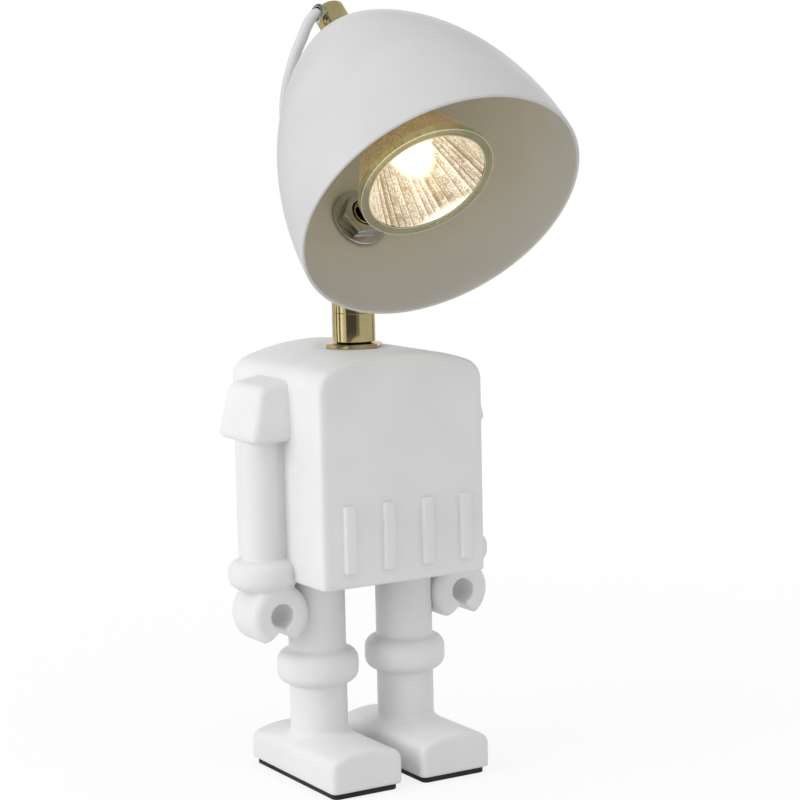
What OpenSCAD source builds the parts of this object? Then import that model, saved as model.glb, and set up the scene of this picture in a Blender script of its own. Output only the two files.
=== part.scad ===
// Robot figure table lamp: a white casting carries a tilting, turning shade with a reflector bulb.
// +Z is up, the figure faces -Y, and the origin is on the table under the neck.

/* [Torso] */
// Width of the torso
torso_w = 67.4; // [55:0.2:80]
// Depth of the torso, front to back
torso_d = 67; // [55:0.5:80]
// Height of the torso, from its underside to the top of its arch
torso_h = 82.2; // [70:0.1:100]
// Radius of the arch over the torso
torso_arch_r = 85; // [60:1:140]
// Radius of the torso's shoulders
torso_corner_r = 8; // [5:0.5:12]
// Rounding of the castings' front and back edges
edge_r = 2.2; // [1:0.1:3.5]
// Wall of the hollow torso
casting_wall = 6; // [4:0.5:9]

/* [Front ribs] */
// Number of ribs across the front
rib_count = 4; // [2:1:4]
// Distance between rib centres
rib_pitch = 15.9; // [9:0.1:17]
// Width of a rib at its root
rib_w = 4.8; // [4:0.1:8]
// Height of a rib
rib_h = 24.2; // [15:0.1:40]
// How far a rib stands proud of the front
rib_proud = 1.8; // [0.8:0.1:3]
// Height of the ribs' lower ends above the torso's underside
rib_lift = 5.4; // [2:0.1:12]
// How far the row of ribs sits towards the figure's left
rib_shift = 1; // [-2:0.1:2]

/* [Legs] */
// Distance between the legs' axes
leg_spread = 36.9; // [34:0.1:40]
// Diameter of a leg
leg_d = 21; // [16:0.1:23]
// Height of the torso's underside above the table
hip_z = 74.7; // [70:0.1:90]
// Diameter of the knee ring
knee_d = 29.8; // [25:0.1:32]
// Height of the knee ring
knee_h = 12.6; // [9.5:0.1:16]
// Height of the knee ring's underside above the table
knee_z = 34.6; // [26:0.1:38]
// Rounding of the knee ring
knee_round = 4.5; // [2:0.1:4.6]
// Width of a foot
foot_w = 29; // [24:0.1:33]
// Length of a foot
foot_len = 62.6; // [50:0.1:75]
// How far the heel lies behind the leg's axis
heel_back = 27.3; // [18:0.1:35]
// Height of a foot, from the pad to the top of its arch
foot_h = 14.8; // [11:0.1:18]
// How much lower the foot's top is at its heel
heel_drop = 2.4; // [0.5:0.1:3]
// Radius of the arch over a foot
foot_arch_r = 32; // [20:0.5:40]
// Radius of a foot's shoulders
foot_corner_r = 4; // [3.5:0.1:6]
// Radius of the flare where a leg meets its foot
ankle_flare = 3.5; // [1:0.1:4.5]
// Thickness of the rubber pad under a foot
pad_t = 2.2; // [1:0.1:4]
// How far the pad stays in from the foot's edge
pad_inset = 1.5; // [0.5:0.1:3]

/* [Arms] */
// Distance of the arm's axis out from the torso's side
arm_out = 6.4; // [6:0.1:9]
// Place of the arms' axis, front to back
arm_y = -1; // [-4:0.1:4]
// Diameter of the upper arm
arm_d = 14.6; // [12:0.1:16]
// Height of the shoulder piece
shoulder_h = 22.9; // [14:0.1:30]
// How far the shoulder's top lies below the torso's top
shoulder_drop = 8.6; // [8:0.1:14]
// How much the shoulder's top falls from the torso outwards
shoulder_fall = 3.2; // [0:0.1:5]
// Reach of the shoulder out from the torso, at its top
shoulder_out_top = 11.2; // [10.5:0.1:15]
// Reach of the shoulder out from the torso, at its bottom
shoulder_out_bottom = 15.4; // [15:0.1:20]
// Depth of the shoulder, at its top
shoulder_d_top = 25.7; // [16:0.1:30]
// Depth of the shoulder, at its bottom
shoulder_d_bottom = 28.7; // [18:0.1:32]
// How far the shoulder's middle lies behind the arm's axis
shoulder_back = 2.7; // [0:0.1:4]
// Rounding of the shoulder's outer edges
shoulder_round = 3; // [1.5:0.1:4]
// Diameter of the cuff at the wrist
cuff_d = 25.4; // [20:0.1:28]
// Height of the cuff
cuff_h = 10.8; // [10:0.1:15]
// How far the cuff hangs below the torso's underside
cuff_drop = 2.7; // [2:0.1:8]
// Rounding of the cuff
cuff_round = 4.5; // [2:0.1:4.9]
// Diameter of the hole through the claw hand
claw_bore_d = 9; // [7:0.1:10]
// Outside radius of the claw hand
claw_r = 11.4; // [9.5:0.1:12]
// Depth of the claw hand, front to back
claw_d = 20; // [15:0.1:24]
// How far the claw's centre lies below the torso's underside
claw_drop = 11.8; // [10:0.1:14]
// How far the claw's centre lies inward of the arm's axis
claw_in = 2.2; // [0:0.1:3]
// Rounding of the claw's outer edges
claw_round = 3.2; // [2:0.1:6]
// Width of the slot between the claw's tips
claw_gap = 3; // [2:0.1:4]
// Half angle of the flare below the slot, from the vertical
claw_flare = 50; // [30:1:60]

/* [Neck] */
// Diameter of the brass neck post
post_d = 15.7; // [14.6:0.1:18]
// Diameter of the hollow threaded tube
thread_d = 10; // [9:0.1:10.6]
// Bore of the hollow threaded tube
thread_bore = 8; // [6:0.1:8.4]
// Width across the flats of the thin lock nut on the torso
lock_nut_af = 18.5; // [17:0.1:20]
// Thickness of the lock nut
lock_nut_h = 2.6; // [1.6:0.1:4]
// Height of the lower collar, from the lock nut to the seam
collar_h = 9; // [8:0.1:12]
// Diameter of the swivel's spigot in the lower collar
spigot_d = 11; // [10.4:0.1:11.6]
// Length of the swivel's spigot
spigot_h = 5; // [4.4:0.1:5.4]
// Diameter of the stop screw in the collar
stop_screw_d = 3; // [2:0.1:3]
// Turn of the neck each way from straight ahead, in degrees
pan_limit = 150; // [90:1:150]
// Height of the round part of the fork, from the seam
fork_round_h = 5.5; // [4.5:0.1:7]
// Height of the knuckle's pivot above the torso
pivot_h = 41.1; // [38:0.1:50]
// Distance of the knuckle's pivot behind the neck's axis
pivot_back = 2.4; // [1.5:0.1:3]
// Radius of the knuckle's rounded ends
knuckle_r = 4.6; // [4:0.1:4.8]
// Thickness of the knuckle's tongue
tongue_t = 6; // [5:0.1:7]
// Thickness of each friction washer
friction_washer_t = 0.5; // [0.3:0.1:0.8]
// Diameter of the pivot screw
pivot_screw_d = 4; // [3:0.1:4.4]

/* [Shade] */
// Tilt of the shade's axis below the horizontal
shade_tilt = 42.5; // [25:0.5:60]
// Radius of the shade at its mouth
shade_r = 51.1; // [45:0.1:60]
// Depth from the mouth to the flat on the dome's top
dome_flat_s = 89; // [82:0.1:100]
// Fullness of the dome near its mouth
dome_power = 2; // [1.8:0.05:2.4]
// Sharpness of the dome near its top
dome_root = 1.47; // [1.3:0.01:1.8]
// Depth at which the dome's curve would close, as a share of the depth to its flat
dome_close = 1.0303; // [1.02:0.001:1.05]
// Thickness of the shade's sheet metal
shade_wall = 1.2; // [0.8:0.1:1.6]
// Place of the knuckle's stub along the shade's axis, from the mouth
stub_s = 39.5; // [34:0.1:44]
// Distance from the shade's wall to the knuckle's pivot
pivot_gap = 6.6; // [6.2:0.1:9]
// Diameter of the shoulder on the tongue
tongue_shoulder_d = 13; // [12:0.1:14]
// Diameter of the flange washer inside the shade
flange_washer_d = 21; // [17:0.1:22]
// Thickness of the washers
washer_t = 1.2; // [0.8:0.1:2]
// Width across the flats of the nut inside the shade
shade_nut_af = 14; // [13:0.1:16]
// Thickness of the nut inside the shade
shade_nut_h = 4; // [3:0.1:5]
// Length of the stub beyond its nut
stub_proud = 1.6; // [0.5:0.1:4]

/* [Cap and cord] */
// Diameter of the brass cap on the shade
cap_d = 11.8; // [11:0.1:14]
// Height of the brass cap
cap_h = 13; // [12:0.1:16]
// Diameter of the hollow nipple that holds the cap
nipple_d = 8; // [7:0.1:8.6]
// Bore of the hollow nipple
nipple_bore = 5.4; // [4.6:0.1:6]
// Diameter of the gland in the cap's side
gland_d = 6.8; // [6:0.1:7.6]
// How far the gland stands out of the cap
gland_proud = 1.6; // [1:0.1:3]
// Distance of the gland's axis below the cap's top
gland_drop = 3; // [2.9:0.1:4.5]
// Turn of the gland from the side towards the front
gland_turn = 18; // [0:1:40]
// Diameter of the jumper cord
cord_d = 4; // [3:0.1:4.2]
// Diameter of the bush where the cord enters the fork
bush_d = 7; // [6:0.1:7.4]
// How far the bush stands out of the fork
bush_proud = 1.5; // [1:0.1:3]

/* [Bulb and holder] */
// Diameter of the bulb's face
bulb_d = 50; // [45:0.1:51]
// Length of the bulb from its face to the end of its base
bulb_len = 46.5; // [44:0.1:48]
// Distance of the bulb's face inside the shade's mouth
bulb_inset = 12.7; // [8:0.1:14]
// Height of the bulb's rim
bulb_rim_h = 3.3; // [2:0.1:5]
// Wall of the bulb's glass
bulb_wall = 1.6; // [1:0.1:2.2]
// Depth of the reflector bowl behind the face
bowl_depth = 29; // [26:0.1:31]
// Diameter of the bulb's base
bulb_base_d = 22; // [19:0.1:24]
// Distance between the bulb's pins
pin_spacing = 10; // [9.4:0.1:10.6]
// Diameter of a pin's head
pin_head_d = 5; // [4.6:0.1:5.2]
// Diameter of a pin's neck
pin_neck_d = 3; // [2.4:0.1:3.2]
// Twist that frees the bulb, in degrees
twist = 40; // [30:1:45]
// Diameter of the ceramic lampholder
holder_d = 25; // [24:0.1:28]
// Height of the ceramic lampholder
holder_h = 16.5; // [14:0.1:18]
// Thickness of the lampholder's slotted front
holder_plate = 2.6; // [2:0.1:3.4]

/* [Hatch and wiring] */
// Width of the hatch under the torso
hatch_w = 14; // [11:0.1:15]
// Length of the hatch under the torso
hatch_len = 50; // [40:0.1:53]
// Thickness of the hatch plate
hatch_t = 1.5; // [1:0.1:2.5]
// Diameter of the mains cord's hole in the grommet
grommet_bore = 6.4; // [5:0.1:7.4]
// Diameter of the grommet's hole in the torso
grommet_hole_d = 9.6; // [9:0.1:12]
// Height of the grommet above the torso's underside
grommet_lift = 16; // [14:0.1:24]
// Length of the terminal block
terminal_len = 24; // [18:0.1:30]

/* [Hidden] */

$fn = 96;
// Clearance of threads and sliding fits, measured on the radius
fit = 0.05;
// Gap between castings that are bonded to each other along a curve
bond_gap = 0.1;
// Clearance between pieces that move past each other
play = 0.3;
// Overshoot of a cut past the face that it opens
past = 1;
// Thickness of the slices that a rounded casting is drawn over, and their taper inwards
skin = 0.1;
slice_taper = 0.98;
arc_steps = 8;
arch_steps = 12;
edge_steps = 4;
dome_steps = 28;
cord_sides = 10;
lead_sides = 8;

white = "whitesmoke";
brass = "darkgoldenrod";
nickel = "silver";
black = "dimgray";
ceramic = "linen";

torso_top = hip_z + torso_h;
torso_side = torso_w / 2;
arm_x = torso_side + arm_out;
leg_x = leg_spread / 2;
claw_x = arm_x - claw_in;
claw_z = hip_z - claw_drop;
cuff_z = hip_z - cuff_drop;
shoulder_top = torso_top - shoulder_drop;
shoulder_bottom = shoulder_top - shoulder_h;
thread_r = thread_d / 2 - fit;
thread_hole_r = thread_d / 2;

// The torso's inside, and the hatch under it
cavity_corner_r = torso_corner_r * 0.75;
washer_room = 1;
neck_hole_room = 0.2;
roof_z = torso_top - casting_wall - past;
hatch_corner_r = 3;
hatch_ledge = 2;
hatch_end_ledge = 7;
hatch_screw_in = 3.5;
hatch_screw_r = 1.25;
hatch_screw_short = 1.5;
hatch_screw_head_r = 2.4;
hatch_screw_head_h = 1.2;
hatch_screw_y = hatch_len / 2 - hatch_screw_in;
claw_lip = 1.2;

// The terminal block stands against the torso's left wall
terminal_w = 13;
terminal_t = 11;
terminal_ways = 2;
terminal_well = 4;
terminal_screw_r = 1.5;
terminal_head_r = 1.7;
terminal_x = torso_side - casting_wall - play - terminal_w / 2;
terminal_z = hip_z + casting_wall;
terminal_floor_z = terminal_z + terminal_t - terminal_well;
function terminal_y(way) = (way - (terminal_ways - 1) / 2) * terminal_len / terminal_ways;

// Heights up the neck
collar_z = torso_top + lock_nut_h;
seam_z = collar_z + collar_h;
spigot_z = seam_z - spigot_h;
spigot_r = spigot_d / 2 - fit;
seam_gap = 0.1;
fork_z = seam_z + seam_gap;
pivot_z = torso_top + pivot_h;
slot_w = tongue_t + 2 * friction_washer_t + 2 * fit;
stop_z = seam_z - spigot_h / 2;
stop_groove_h = stop_screw_d + 2 * play;
stop_groove_depth = 1.1;
stop_groove_r = spigot_r - stop_groove_depth;
stop_depth = 0.7;
stop_sunk = 0.4;
stop_reach_deg = asin((stop_screw_d / 2 + fit) / stop_groove_r) + 1;
bush_rise = 2.5;
bush_seat = 1.5;
bush_round = 0.6;
bush_z = fork_z + fork_round_h + bush_rise;
lead_bore = 5;
cord_room = 0.6;
tube_hang = 14;
tube_top_gap = 1;
tube_low_z = torso_top - casting_wall - tube_hang;
lock_nut_chamfer = 0.7;

// Place of the fork's back at this height, where the bush is seated
function fork_back(z) =
    let (share = (z - fork_z - fork_round_h) / (pivot_z - fork_z - fork_round_h))
    post_d / 2 + share * (pivot_back + knuckle_r - post_d / 2);

// The pivot screw's head and nut sit on spot faces in the fork's cheeks
cheek_t = 2;
spot_x = slot_w / 2 + cheek_t;
pivot_head_r = 3.2;
pivot_head_h = 1.8;
pivot_nut_af = 6;
pivot_nut_h = 1.6;
spot_r = pivot_nut_af / 2 / cos(30) + play;

// The dome's outline: radius and slope at a distance from the mouth
dome_depth = dome_flat_s * dome_close;
function dome_radius(s) = shade_r * pow(1 - pow(s / dome_depth, dome_power), 1 / dome_root);
function dome_lean(s) =
    let (step = 0.01)
    atan((dome_radius(max(s - step, 0)) - dome_radius(s + step)) / (s + step - max(s - step, 0)));
function dome_outer(s) = [dome_radius(s), s];
function dome_inner(s) =
    let (lean = dome_lean(s))
    [dome_radius(s) - shade_wall * cos(lean), max(s - shade_wall * sin(lean), 0)];

// The knuckle's stub stands square to the dome's wall
stub_lean = dome_lean(stub_s);
stub_wall_r = dome_radius(stub_s);
pivot_in_shade = [0, stub_wall_r + pivot_gap * cos(stub_lean), stub_s + pivot_gap * sin(stub_lean)];

// Distances from the pivot along the stub, towards the inside of the shade
stub_clear = 0.1;
shoulder_far = pivot_gap - stub_clear;
shoulder_near = knuckle_r + 2 * play;
washer_sag = pow(flange_washer_d / 2, 2) / (2 * (stub_wall_r - shade_wall));
washer_seat = pivot_gap + shade_wall + washer_sag + stub_clear;
stub_end = washer_seat + washer_t + shade_nut_h + stub_proud;

// Distances up the shade's axis from its mouth
bulb_back_s = bulb_inset + bulb_len;
holder_gap = 0.3;
holder_s = bulb_back_s + holder_gap;
holder_top_s = holder_s + holder_h;
cap_top_s = dome_flat_s + cap_h;
gland_s = cap_top_s - gland_drop;
gland_stub_d = 5.2;
gland_seat = 1.6;
gland_round = 0.4;
gland_room = 0.2;
cap_round = 0.6;
cap_roof = 1.6;
shell_hole_room = 0.1;
strap_t = 1;
strap_w = 10;
strap_half = 8;
strap_foot = 4.6;
dome_roof_s = dome_flat_s - shade_wall;
strap_boss_h = 2;
strap_boss_r = 6;
strap_top_s = dome_roof_s - strap_boss_h;
nipple_nut_h = 4;
nipple_nut_af = 11;
nipple_tail = 1;
nipple_proud = 6;
nipple_low_s = strap_top_s - strap_t - nipple_nut_h - nipple_tail;
nipple_high_s = dome_flat_s + nipple_proud;
holder_screw_x = strap_half + strap_foot / 2;
holder_screw_r = 1.25;
holder_screw_head_r = 2.1;
holder_screw_head_h = 1.3;
holder_round = 1;
plate_gap = 0.2;
head_s = holder_s + holder_plate + plate_gap;
head_h = 2.6;
pin_room = 0.3;
contact_s = head_s + head_h + pin_room;
contact_h = 1.2;
contact_d = pin_head_d - 2 * play;
wire_r = 0.9;
wire_y = 1.3;

// The bulb's glass
capsule_r = 4.2;
capsule_len = 20;
rim_chamfer = 0.5;
rim_step = 1;
lens_sunk = 0.6;
lens_t = 1.6;
lens_r = bulb_d / 2 - bulb_wall;
base_chamfer = 0.8;
base_waist = 1.2;
bowl_rim_r = bulb_d / 2 - rim_step;
bowl_neck_r = bulb_base_d / 2 - rim_step / 2;
bowl_steps = 14;

// The jumper cord's route in the figure's frame, from the cap's gland to the fork's bush
cord_route = [
    [-6.6, 9, 275.6], [-8.4, 8.7, 274.8], [-9.9, 8.5, 273.5], [-11.1, 8.5, 271.8], [-12, 8.8, 269.8],
    [-12.8, 9.7, 267], [-13.8, 11.8, 263], [-14.4, 13.6, 259.4], [-14.8, 15.4, 255.8],
    [-15, 17.2, 252.2], [-15, 18.8, 248.6], [-14.8, 20.4, 244.8], [-14.2, 22, 240], [-13, 23.4, 234],
    [-11.4, 24.4, 228], [-9.4, 25, 222], [-7.2, 25.2, 216], [-5, 25, 210], [-3, 24.4, 204],
    [-1.4, 23.2, 198], [-0.4, 21.4, 192.6], [0, 19, 187.8], [0, 16.4, 183], [0, 13.4, 179.2],
    [0, 11.4, 177.2], [0, 9.6, 176.6]
];
// The neck lead's bends from the terminal block to the tube's top: how far out it still is, and how far up
lead_shares = [
    [1, 0], [1, 0.08], [0.98, 0.17], [0.9, 0.27], [0.7, 0.39], [0.42, 0.49],
    [0.18, 0.58], [0.05, 0.64], [0, 0.7], [0, 0.79], [0, 0.9], [0, 1]
];
lead_r = 1.9;
lead_low_z = terminal_z + terminal_t;
lead_high_z = torso_top + lock_nut_h;
lead_route = [
    for (bend = lead_shares)
        [bend[0] * terminal_x, bend[0] * terminal_y(1), lead_low_z + bend[1] * (lead_high_z - lead_low_z)]
];

// Shapes that several pieces share

function arch_points(w, h, arch_r, corner_r) =
    let (
        corner_x = w / 2 - corner_r,
        arch_mid = h - arch_r,
        corner_y = arch_mid + sqrt(pow(arch_r - corner_r, 2) - pow(corner_x, 2)),
        lean = asin(corner_x / (arch_r - corner_r))
    )
    concat(
        [[-w / 2, 0], [w / 2, 0]],
        [for (i = [0:arc_steps])
            let (turn = (90 - lean) * i / arc_steps)
            [corner_x + corner_r * cos(turn), corner_y + corner_r * sin(turn)]],
        [for (i = [1:arch_steps - 1])
            let (turn = 90 - lean + 2 * lean * i / arch_steps)
            [arch_r * cos(turn), arch_mid + arch_r * sin(turn)]],
        [for (i = [0:arc_steps])
            let (turn = 90 + lean + (90 - lean) * i / arc_steps)
            [-corner_x + corner_r * cos(turn), corner_y + corner_r * sin(turn)]]
    );

// An arched block from y_front to y_back, with its front and back edges rounded
module arched_block(w, h, y_front, y_back, arch_r, corner_r, round) {
    hull()
        for (back = [false, true], i = [0:edge_steps]) {
            turn = 90 * i / edge_steps;
            inset = round * (1 - cos(turn));
            run = round * (1 - sin(turn));
            translate([0, back ? y_back - run : y_front + run, 0])
                mirror([0, back ? 0 : 1, 0])
                    rotate([90, 0, 0])
                        linear_extrude(skin, scale = slice_taper)
                            polygon(arch_points(w - 2 * inset, h - inset, arch_r - inset, corner_r - inset));
        }
}

// Half outline of a disc from the axis out to r, with its rim rounded
module round_rim(r, h, round, r_in = 0) {
    translate([r_in, 0]) square([r - round - r_in, h]);
    translate([r_in, round]) square([r - r_in, h - 2 * round]);
    for (y = [round, h - round])
        translate([r - round, y]) circle(round);
}

module rounded_rect(w, l, r) {
    square([w - 2 * r, l], center = true);
    square([w, l - 2 * r], center = true);
    for (x = [-1, 1], y = [-1, 1])
        translate([x * (w / 2 - r), y * (l / 2 - r)]) circle(r);
}

module ring(r_out, r_in, h) {
    difference() {
        cylinder(r = r_out, h = h);
        translate([0, 0, -past]) cylinder(r = r_in, h = h + 2 * past);
    }
}

module hex_nut(across_flats, bore_r, h) {
    difference() {
        cylinder(d = across_flats / cos(30), h = h, $fn = 6);
        translate([0, 0, -past]) cylinder(r = bore_r, h = h + 2 * past);
    }
}

// Countersunk screw along +Z from its tip, with a slot in its head
module slot_screw(r, length, head_r, head_h) {
    cylinder(r = r, h = length);
    translate([0, 0, length])
        difference() {
            cylinder(r = head_r, h = head_h);
            translate([-head_r - past, -head_r / 6, head_h / 2])
                cube([2 * (head_r + past), head_r / 3, head_h]);
        }
}

function unit(v) = v / norm(v);

// A tube of this radius through the points, with flat ends square to the first and last stretch
module swept_tube(route, r, sides) {
    last = len(route) - 1;
    aside = [1, -1, 1];
    rings = [
        for (i = [0:last])
            let (
                ahead = unit(route[min(i + 1, last)] - route[max(i - 1, 0)]),
                u = unit(cross(ahead, aside)),
                v = cross(ahead, u)
            )
            for (k = [0:sides - 1])
                route[i] + r * (cos(360 * k / sides) * u + sin(360 * k / sides) * v)
    ];
    walls = [
        for (i = [0:last - 1], k = [0:sides - 1])
            let (a = i * sides + k, b = i * sides + (k + 1) % sides)
            each [[a, b, b + sides], [a, b + sides, a + sides]]
    ];
    start_cap = [for (k = [1:sides - 2]) [0, k + 1, k]];
    end_cap = [for (k = [1:sides - 2]) let (e = last * sides) [e, e + k, e + k + 1]];
    polyhedron(points = rings, faces = concat(walls, start_cap, end_cap));
}

// Frames

// From the shade's frame, with its mouth's centre at the origin and its axis along +Z, to the figure's
module in_shade() {
    translate([0, pivot_back, pivot_z])
        rotate([shade_tilt - 90, 0, 0])
            translate(-pivot_in_shade)
                children();
}

// From the stub's frame, with the pivot at the origin and the shade's inside along +Z
module on_stub() {
    in_shade()
        translate(pivot_in_shade)
            rotate([90 + stub_lean, 0, 0])
                children();
}

// From the gland's frame, with the cap's axis at the origin and the cord's way out along +Z
module on_gland() {
    in_shade()
        translate([0, 0, gland_s])
            rotate([0, 0, gland_turn])
                rotate([0, -90, 0])
                    children();
}

// Castings

module rib_slice(inset) {
    rotate([90, 0, 0])
        linear_extrude(skin)
            rounded_rect(rib_w - 2 * inset, rib_h - 2 * inset, rib_w / 3 - inset / 2, $fn = 24);
}

module front_ribs() {
    rib_soft = min(rib_proud, rib_w / 4) * 0.7;
    for (i = [0:rib_count - 1])
        translate([
            rib_shift + (i - (rib_count - 1) / 2) * rib_pitch,
            -torso_d / 2,
            hip_z + rib_lift + rib_h / 2
        ])
            hull() {
                translate([0, rib_proud, 0]) rib_slice(0);
                translate([0, -rib_proud + rib_soft, 0]) rib_slice(0);
                translate([0, -rib_proud + rib_soft * 0.3, 0]) rib_slice(rib_soft * 0.3);
                translate([0, -rib_proud, 0]) rib_slice(rib_soft);
            }
}

module torso_cavity() {
    inner_w = torso_w - 2 * casting_wall;
    inner_h = torso_h - 2 * casting_wall;
    translate([0, torso_d / 2 - casting_wall, hip_z + casting_wall])
        rotate([90, 0, 0])
            linear_extrude(torso_d - 2 * casting_wall)
                polygon(arch_points(inner_w, inner_h, torso_arch_r - casting_wall, cavity_corner_r));
    // flat seat under the roof for the neck's washer
    translate([0, 0, roof_z])
        cylinder(r = flange_washer_d / 2 + washer_room, h = past);
}

module torso() {
    color(white)
        difference() {
            union() {
                translate([0, 0, hip_z])
                    arched_block(
                        torso_w, torso_h, -torso_d / 2, torso_d / 2, torso_arch_r, torso_corner_r, edge_r
                    );
                front_ribs();
            }
            torso_cavity();
            translate([0, 0, roof_z])
                cylinder(r = thread_hole_r + neck_hole_room, h = casting_wall + 2 * past);
            translate([0, 0, hip_z - past])
                linear_extrude(casting_wall + 2 * past)
                    rounded_rect(
                        hatch_w - 2 * hatch_ledge, hatch_len - 2 * hatch_end_ledge, hatch_corner_r * 2 / 3
                    );
            translate([0, 0, hip_z - past])
                linear_extrude(hatch_t + past)
                    rounded_rect(hatch_w + 2 * play, hatch_len + 2 * play, hatch_corner_r);
            for (y = [-1, 1])
                translate([0, y * hatch_screw_y, hip_z - past])
                    cylinder(r = hatch_screw_r + fit, h = casting_wall);
            translate([0, torso_d / 2 - casting_wall - past, hip_z + grommet_lift])
                rotate([-90, 0, 0])
                    cylinder(d = grommet_hole_d, h = casting_wall + 2 * past);
        }
}

module shoulder() {
    reach = [shoulder_out_bottom, shoulder_out_top];
    depth = [shoulder_d_bottom, shoulder_d_top];
    height = [shoulder_bottom, shoulder_top];
    fall = [0, shoulder_fall];
    hull()
        for (level = [0, 1], y = [-1, 1]) {
            edge_y = arm_y + shoulder_back + y * (depth[level] / 2 - shoulder_round);
            edge_z = height[level] + (level == 0 ? 1 : -1) * shoulder_round;
            translate([-torso_side - reach[level] + shoulder_round, edge_y, edge_z - fall[level]])
                sphere(shoulder_round, $fn = 24);
            translate([-torso_side - skin, edge_y, edge_z])
                rotate([0, 90, 0])
                    cylinder(r = shoulder_round, h = skin, $fn = 24);
        }
}

module claw_slot() {
    tip_z = -claw_bore_d / 2 - claw_lip;
    end_z = -claw_r - past;
    flare_x = claw_gap / 2 + (tip_z - end_z) * tan(claw_flare);
    rotate([90, 0, 0])
        linear_extrude(claw_d + 2 * past, center = true)
            polygon([
                [-claw_gap / 2, 0], [-claw_gap / 2, tip_z], [-flare_x, end_z],
                [flare_x, end_z], [claw_gap / 2, tip_z], [claw_gap / 2, 0]
            ]);
}

module arm_casting() {
    difference() {
        union() {
            shoulder();
            translate([-arm_x, arm_y, cuff_z])
                cylinder(d = arm_d, h = shoulder_bottom + shoulder_round - cuff_z);
            translate([-arm_x, arm_y, cuff_z])
                rotate_extrude()
                    round_rim(cuff_d / 2, cuff_h, cuff_round);
            translate([-claw_x, arm_y + claw_d / 2, claw_z])
                rotate([90, 0, 0])
                    rotate_extrude()
                        round_rim(claw_r, claw_d, claw_round, claw_bore_d / 2);
        }
        // the torso's side and underside, and the leg, that the arm is bonded to
        translate([-torso_side, -torso_d, hip_z])
            cube([torso_w, 2 * torso_d, torso_h]);
        translate([-leg_x, 0, 0])
            cylinder(r = leg_d / 2 + bond_gap, h = hip_z + past);
        translate([-claw_x, arm_y, claw_z]) {
            claw_slot();
            rotate([90, 0, 0])
                cylinder(d = claw_bore_d, h = cuff_d + 2 * past, center = true);
        }
    }
}

module right_arm() {
    color(white) arm_casting();
}

module left_arm() {
    color(white) mirror([1, 0, 0]) arm_casting();
}

module leg_casting() {
    foot_top = pad_t + foot_h;
    // the flare is sunk by a share of its radius, and it stops at a share of its arc
    flare_sunk = 0.7;
    flare_share = 0.75;
    flare_z = foot_top - ankle_flare * flare_sunk;
    flare_r = leg_d / 2 + ankle_flare * flare_share;
    translate([0, 0, foot_top / 2])
        cylinder(d = leg_d, h = hip_z - foot_top / 2);
    translate([0, 0, knee_z])
        rotate_extrude()
            round_rim(knee_d / 2, knee_h, knee_round);
    translate([0, 0, flare_z])
        rotate_extrude()
            difference() {
                translate([0, -ankle_flare]) square([flare_r, 2 * ankle_flare]);
                translate([leg_d / 2 + ankle_flare, ankle_flare]) circle(ankle_flare);
            }
    translate([0, 0, pad_t])
        hull() {
            arched_block(
                foot_w, foot_h, heel_back - foot_len, leg_d / 2, foot_arch_r, foot_corner_r, edge_r
            );
            arched_block(
                foot_w, foot_h - heel_drop, -leg_d / 2, heel_back, foot_arch_r, foot_corner_r, edge_r
            );
        }
}

module right_leg() {
    color(white) translate([-leg_x, 0, 0]) leg_casting();
}

module left_leg() {
    color(white) translate([leg_x, 0, 0]) leg_casting();
}

module foot_pad(x) {
    translate([x, heel_back - foot_len / 2, 0])
        linear_extrude(pad_t)
            rounded_rect(foot_w - 2 * pad_inset, foot_len - 2 * pad_inset, edge_r);
}

module right_foot_pad() {
    color(black) foot_pad(-leg_x);
}

module left_foot_pad() {
    color(black) foot_pad(leg_x);
}

// Underside and wiring

module hatch_plate() {
    color(black)
        translate([0, 0, hip_z])
            difference() {
                linear_extrude(hatch_t) rounded_rect(hatch_w, hatch_len, hatch_corner_r);
                for (y = [-1, 1])
                    translate([0, y * hatch_screw_y, -past])
                        cylinder(r = hatch_screw_r + fit, h = hatch_t + 2 * past);
            }
}

module hatch_screws() {
    length = casting_wall - hatch_screw_short;
    color(nickel)
        for (y = [-1, 1])
            translate([0, y * hatch_screw_y, hip_z + length])
                rotate([180, 0, 0])
                    slot_screw(hatch_screw_r, length, hatch_screw_head_r, hatch_screw_head_h);
}

module mains_grommet() {
    lip = 1.6;
    neck_r = grommet_hole_d / 2 - fit;
    color(black)
        translate([0, torso_d / 2, hip_z + grommet_lift])
            rotate([-90, 0, 0])
                difference() {
                    union() {
                        translate([0, 0, -casting_wall - lip])
                            cylinder(r = neck_r, h = casting_wall + lip);
                        rotate_extrude() round_rim(neck_r + lip, 2 * lip, lip * 0.8);
                        translate([0, 0, -casting_wall - lip]) cylinder(r = neck_r + lip * 0.6, h = lip);
                    }
                    translate([0, 0, -casting_wall - lip - past])
                        cylinder(d = grommet_bore, h = casting_wall + 3 * lip + 2 * past);
                }
}

module terminal_block() {
    color(ceramic)
        translate([terminal_x, 0, terminal_z])
            difference() {
                union() {
                    translate([-terminal_w / 2, -terminal_len / 2, 0])
                        cube([terminal_w, terminal_len, terminal_t * 0.6]);
                    for (way = [0:terminal_ways - 1])
                        translate([-terminal_w / 2, terminal_y(way) - terminal_len / 5, 0])
                            cube([terminal_w, terminal_len / 2.5, terminal_t]);
                }
                for (way = [0:terminal_ways - 1], x = [-1, 1])
                    translate([x * terminal_w / 4, terminal_y(way), terminal_t - terminal_well])
                        cylinder(r = terminal_head_r + 2 * fit, h = terminal_well + past);
            }
}

module terminal_screws() {
    color(nickel)
        for (way = [0:terminal_ways - 1], x = [-1, 1])
            translate([terminal_x + x * terminal_w / 4, terminal_y(way), terminal_floor_z])
                slot_screw(terminal_screw_r, terminal_screw_r, terminal_head_r, terminal_screw_r);
}

module neck_lead() {
    color(white) swept_tube(lead_route, lead_r, lead_sides);
}

// Neck

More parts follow.
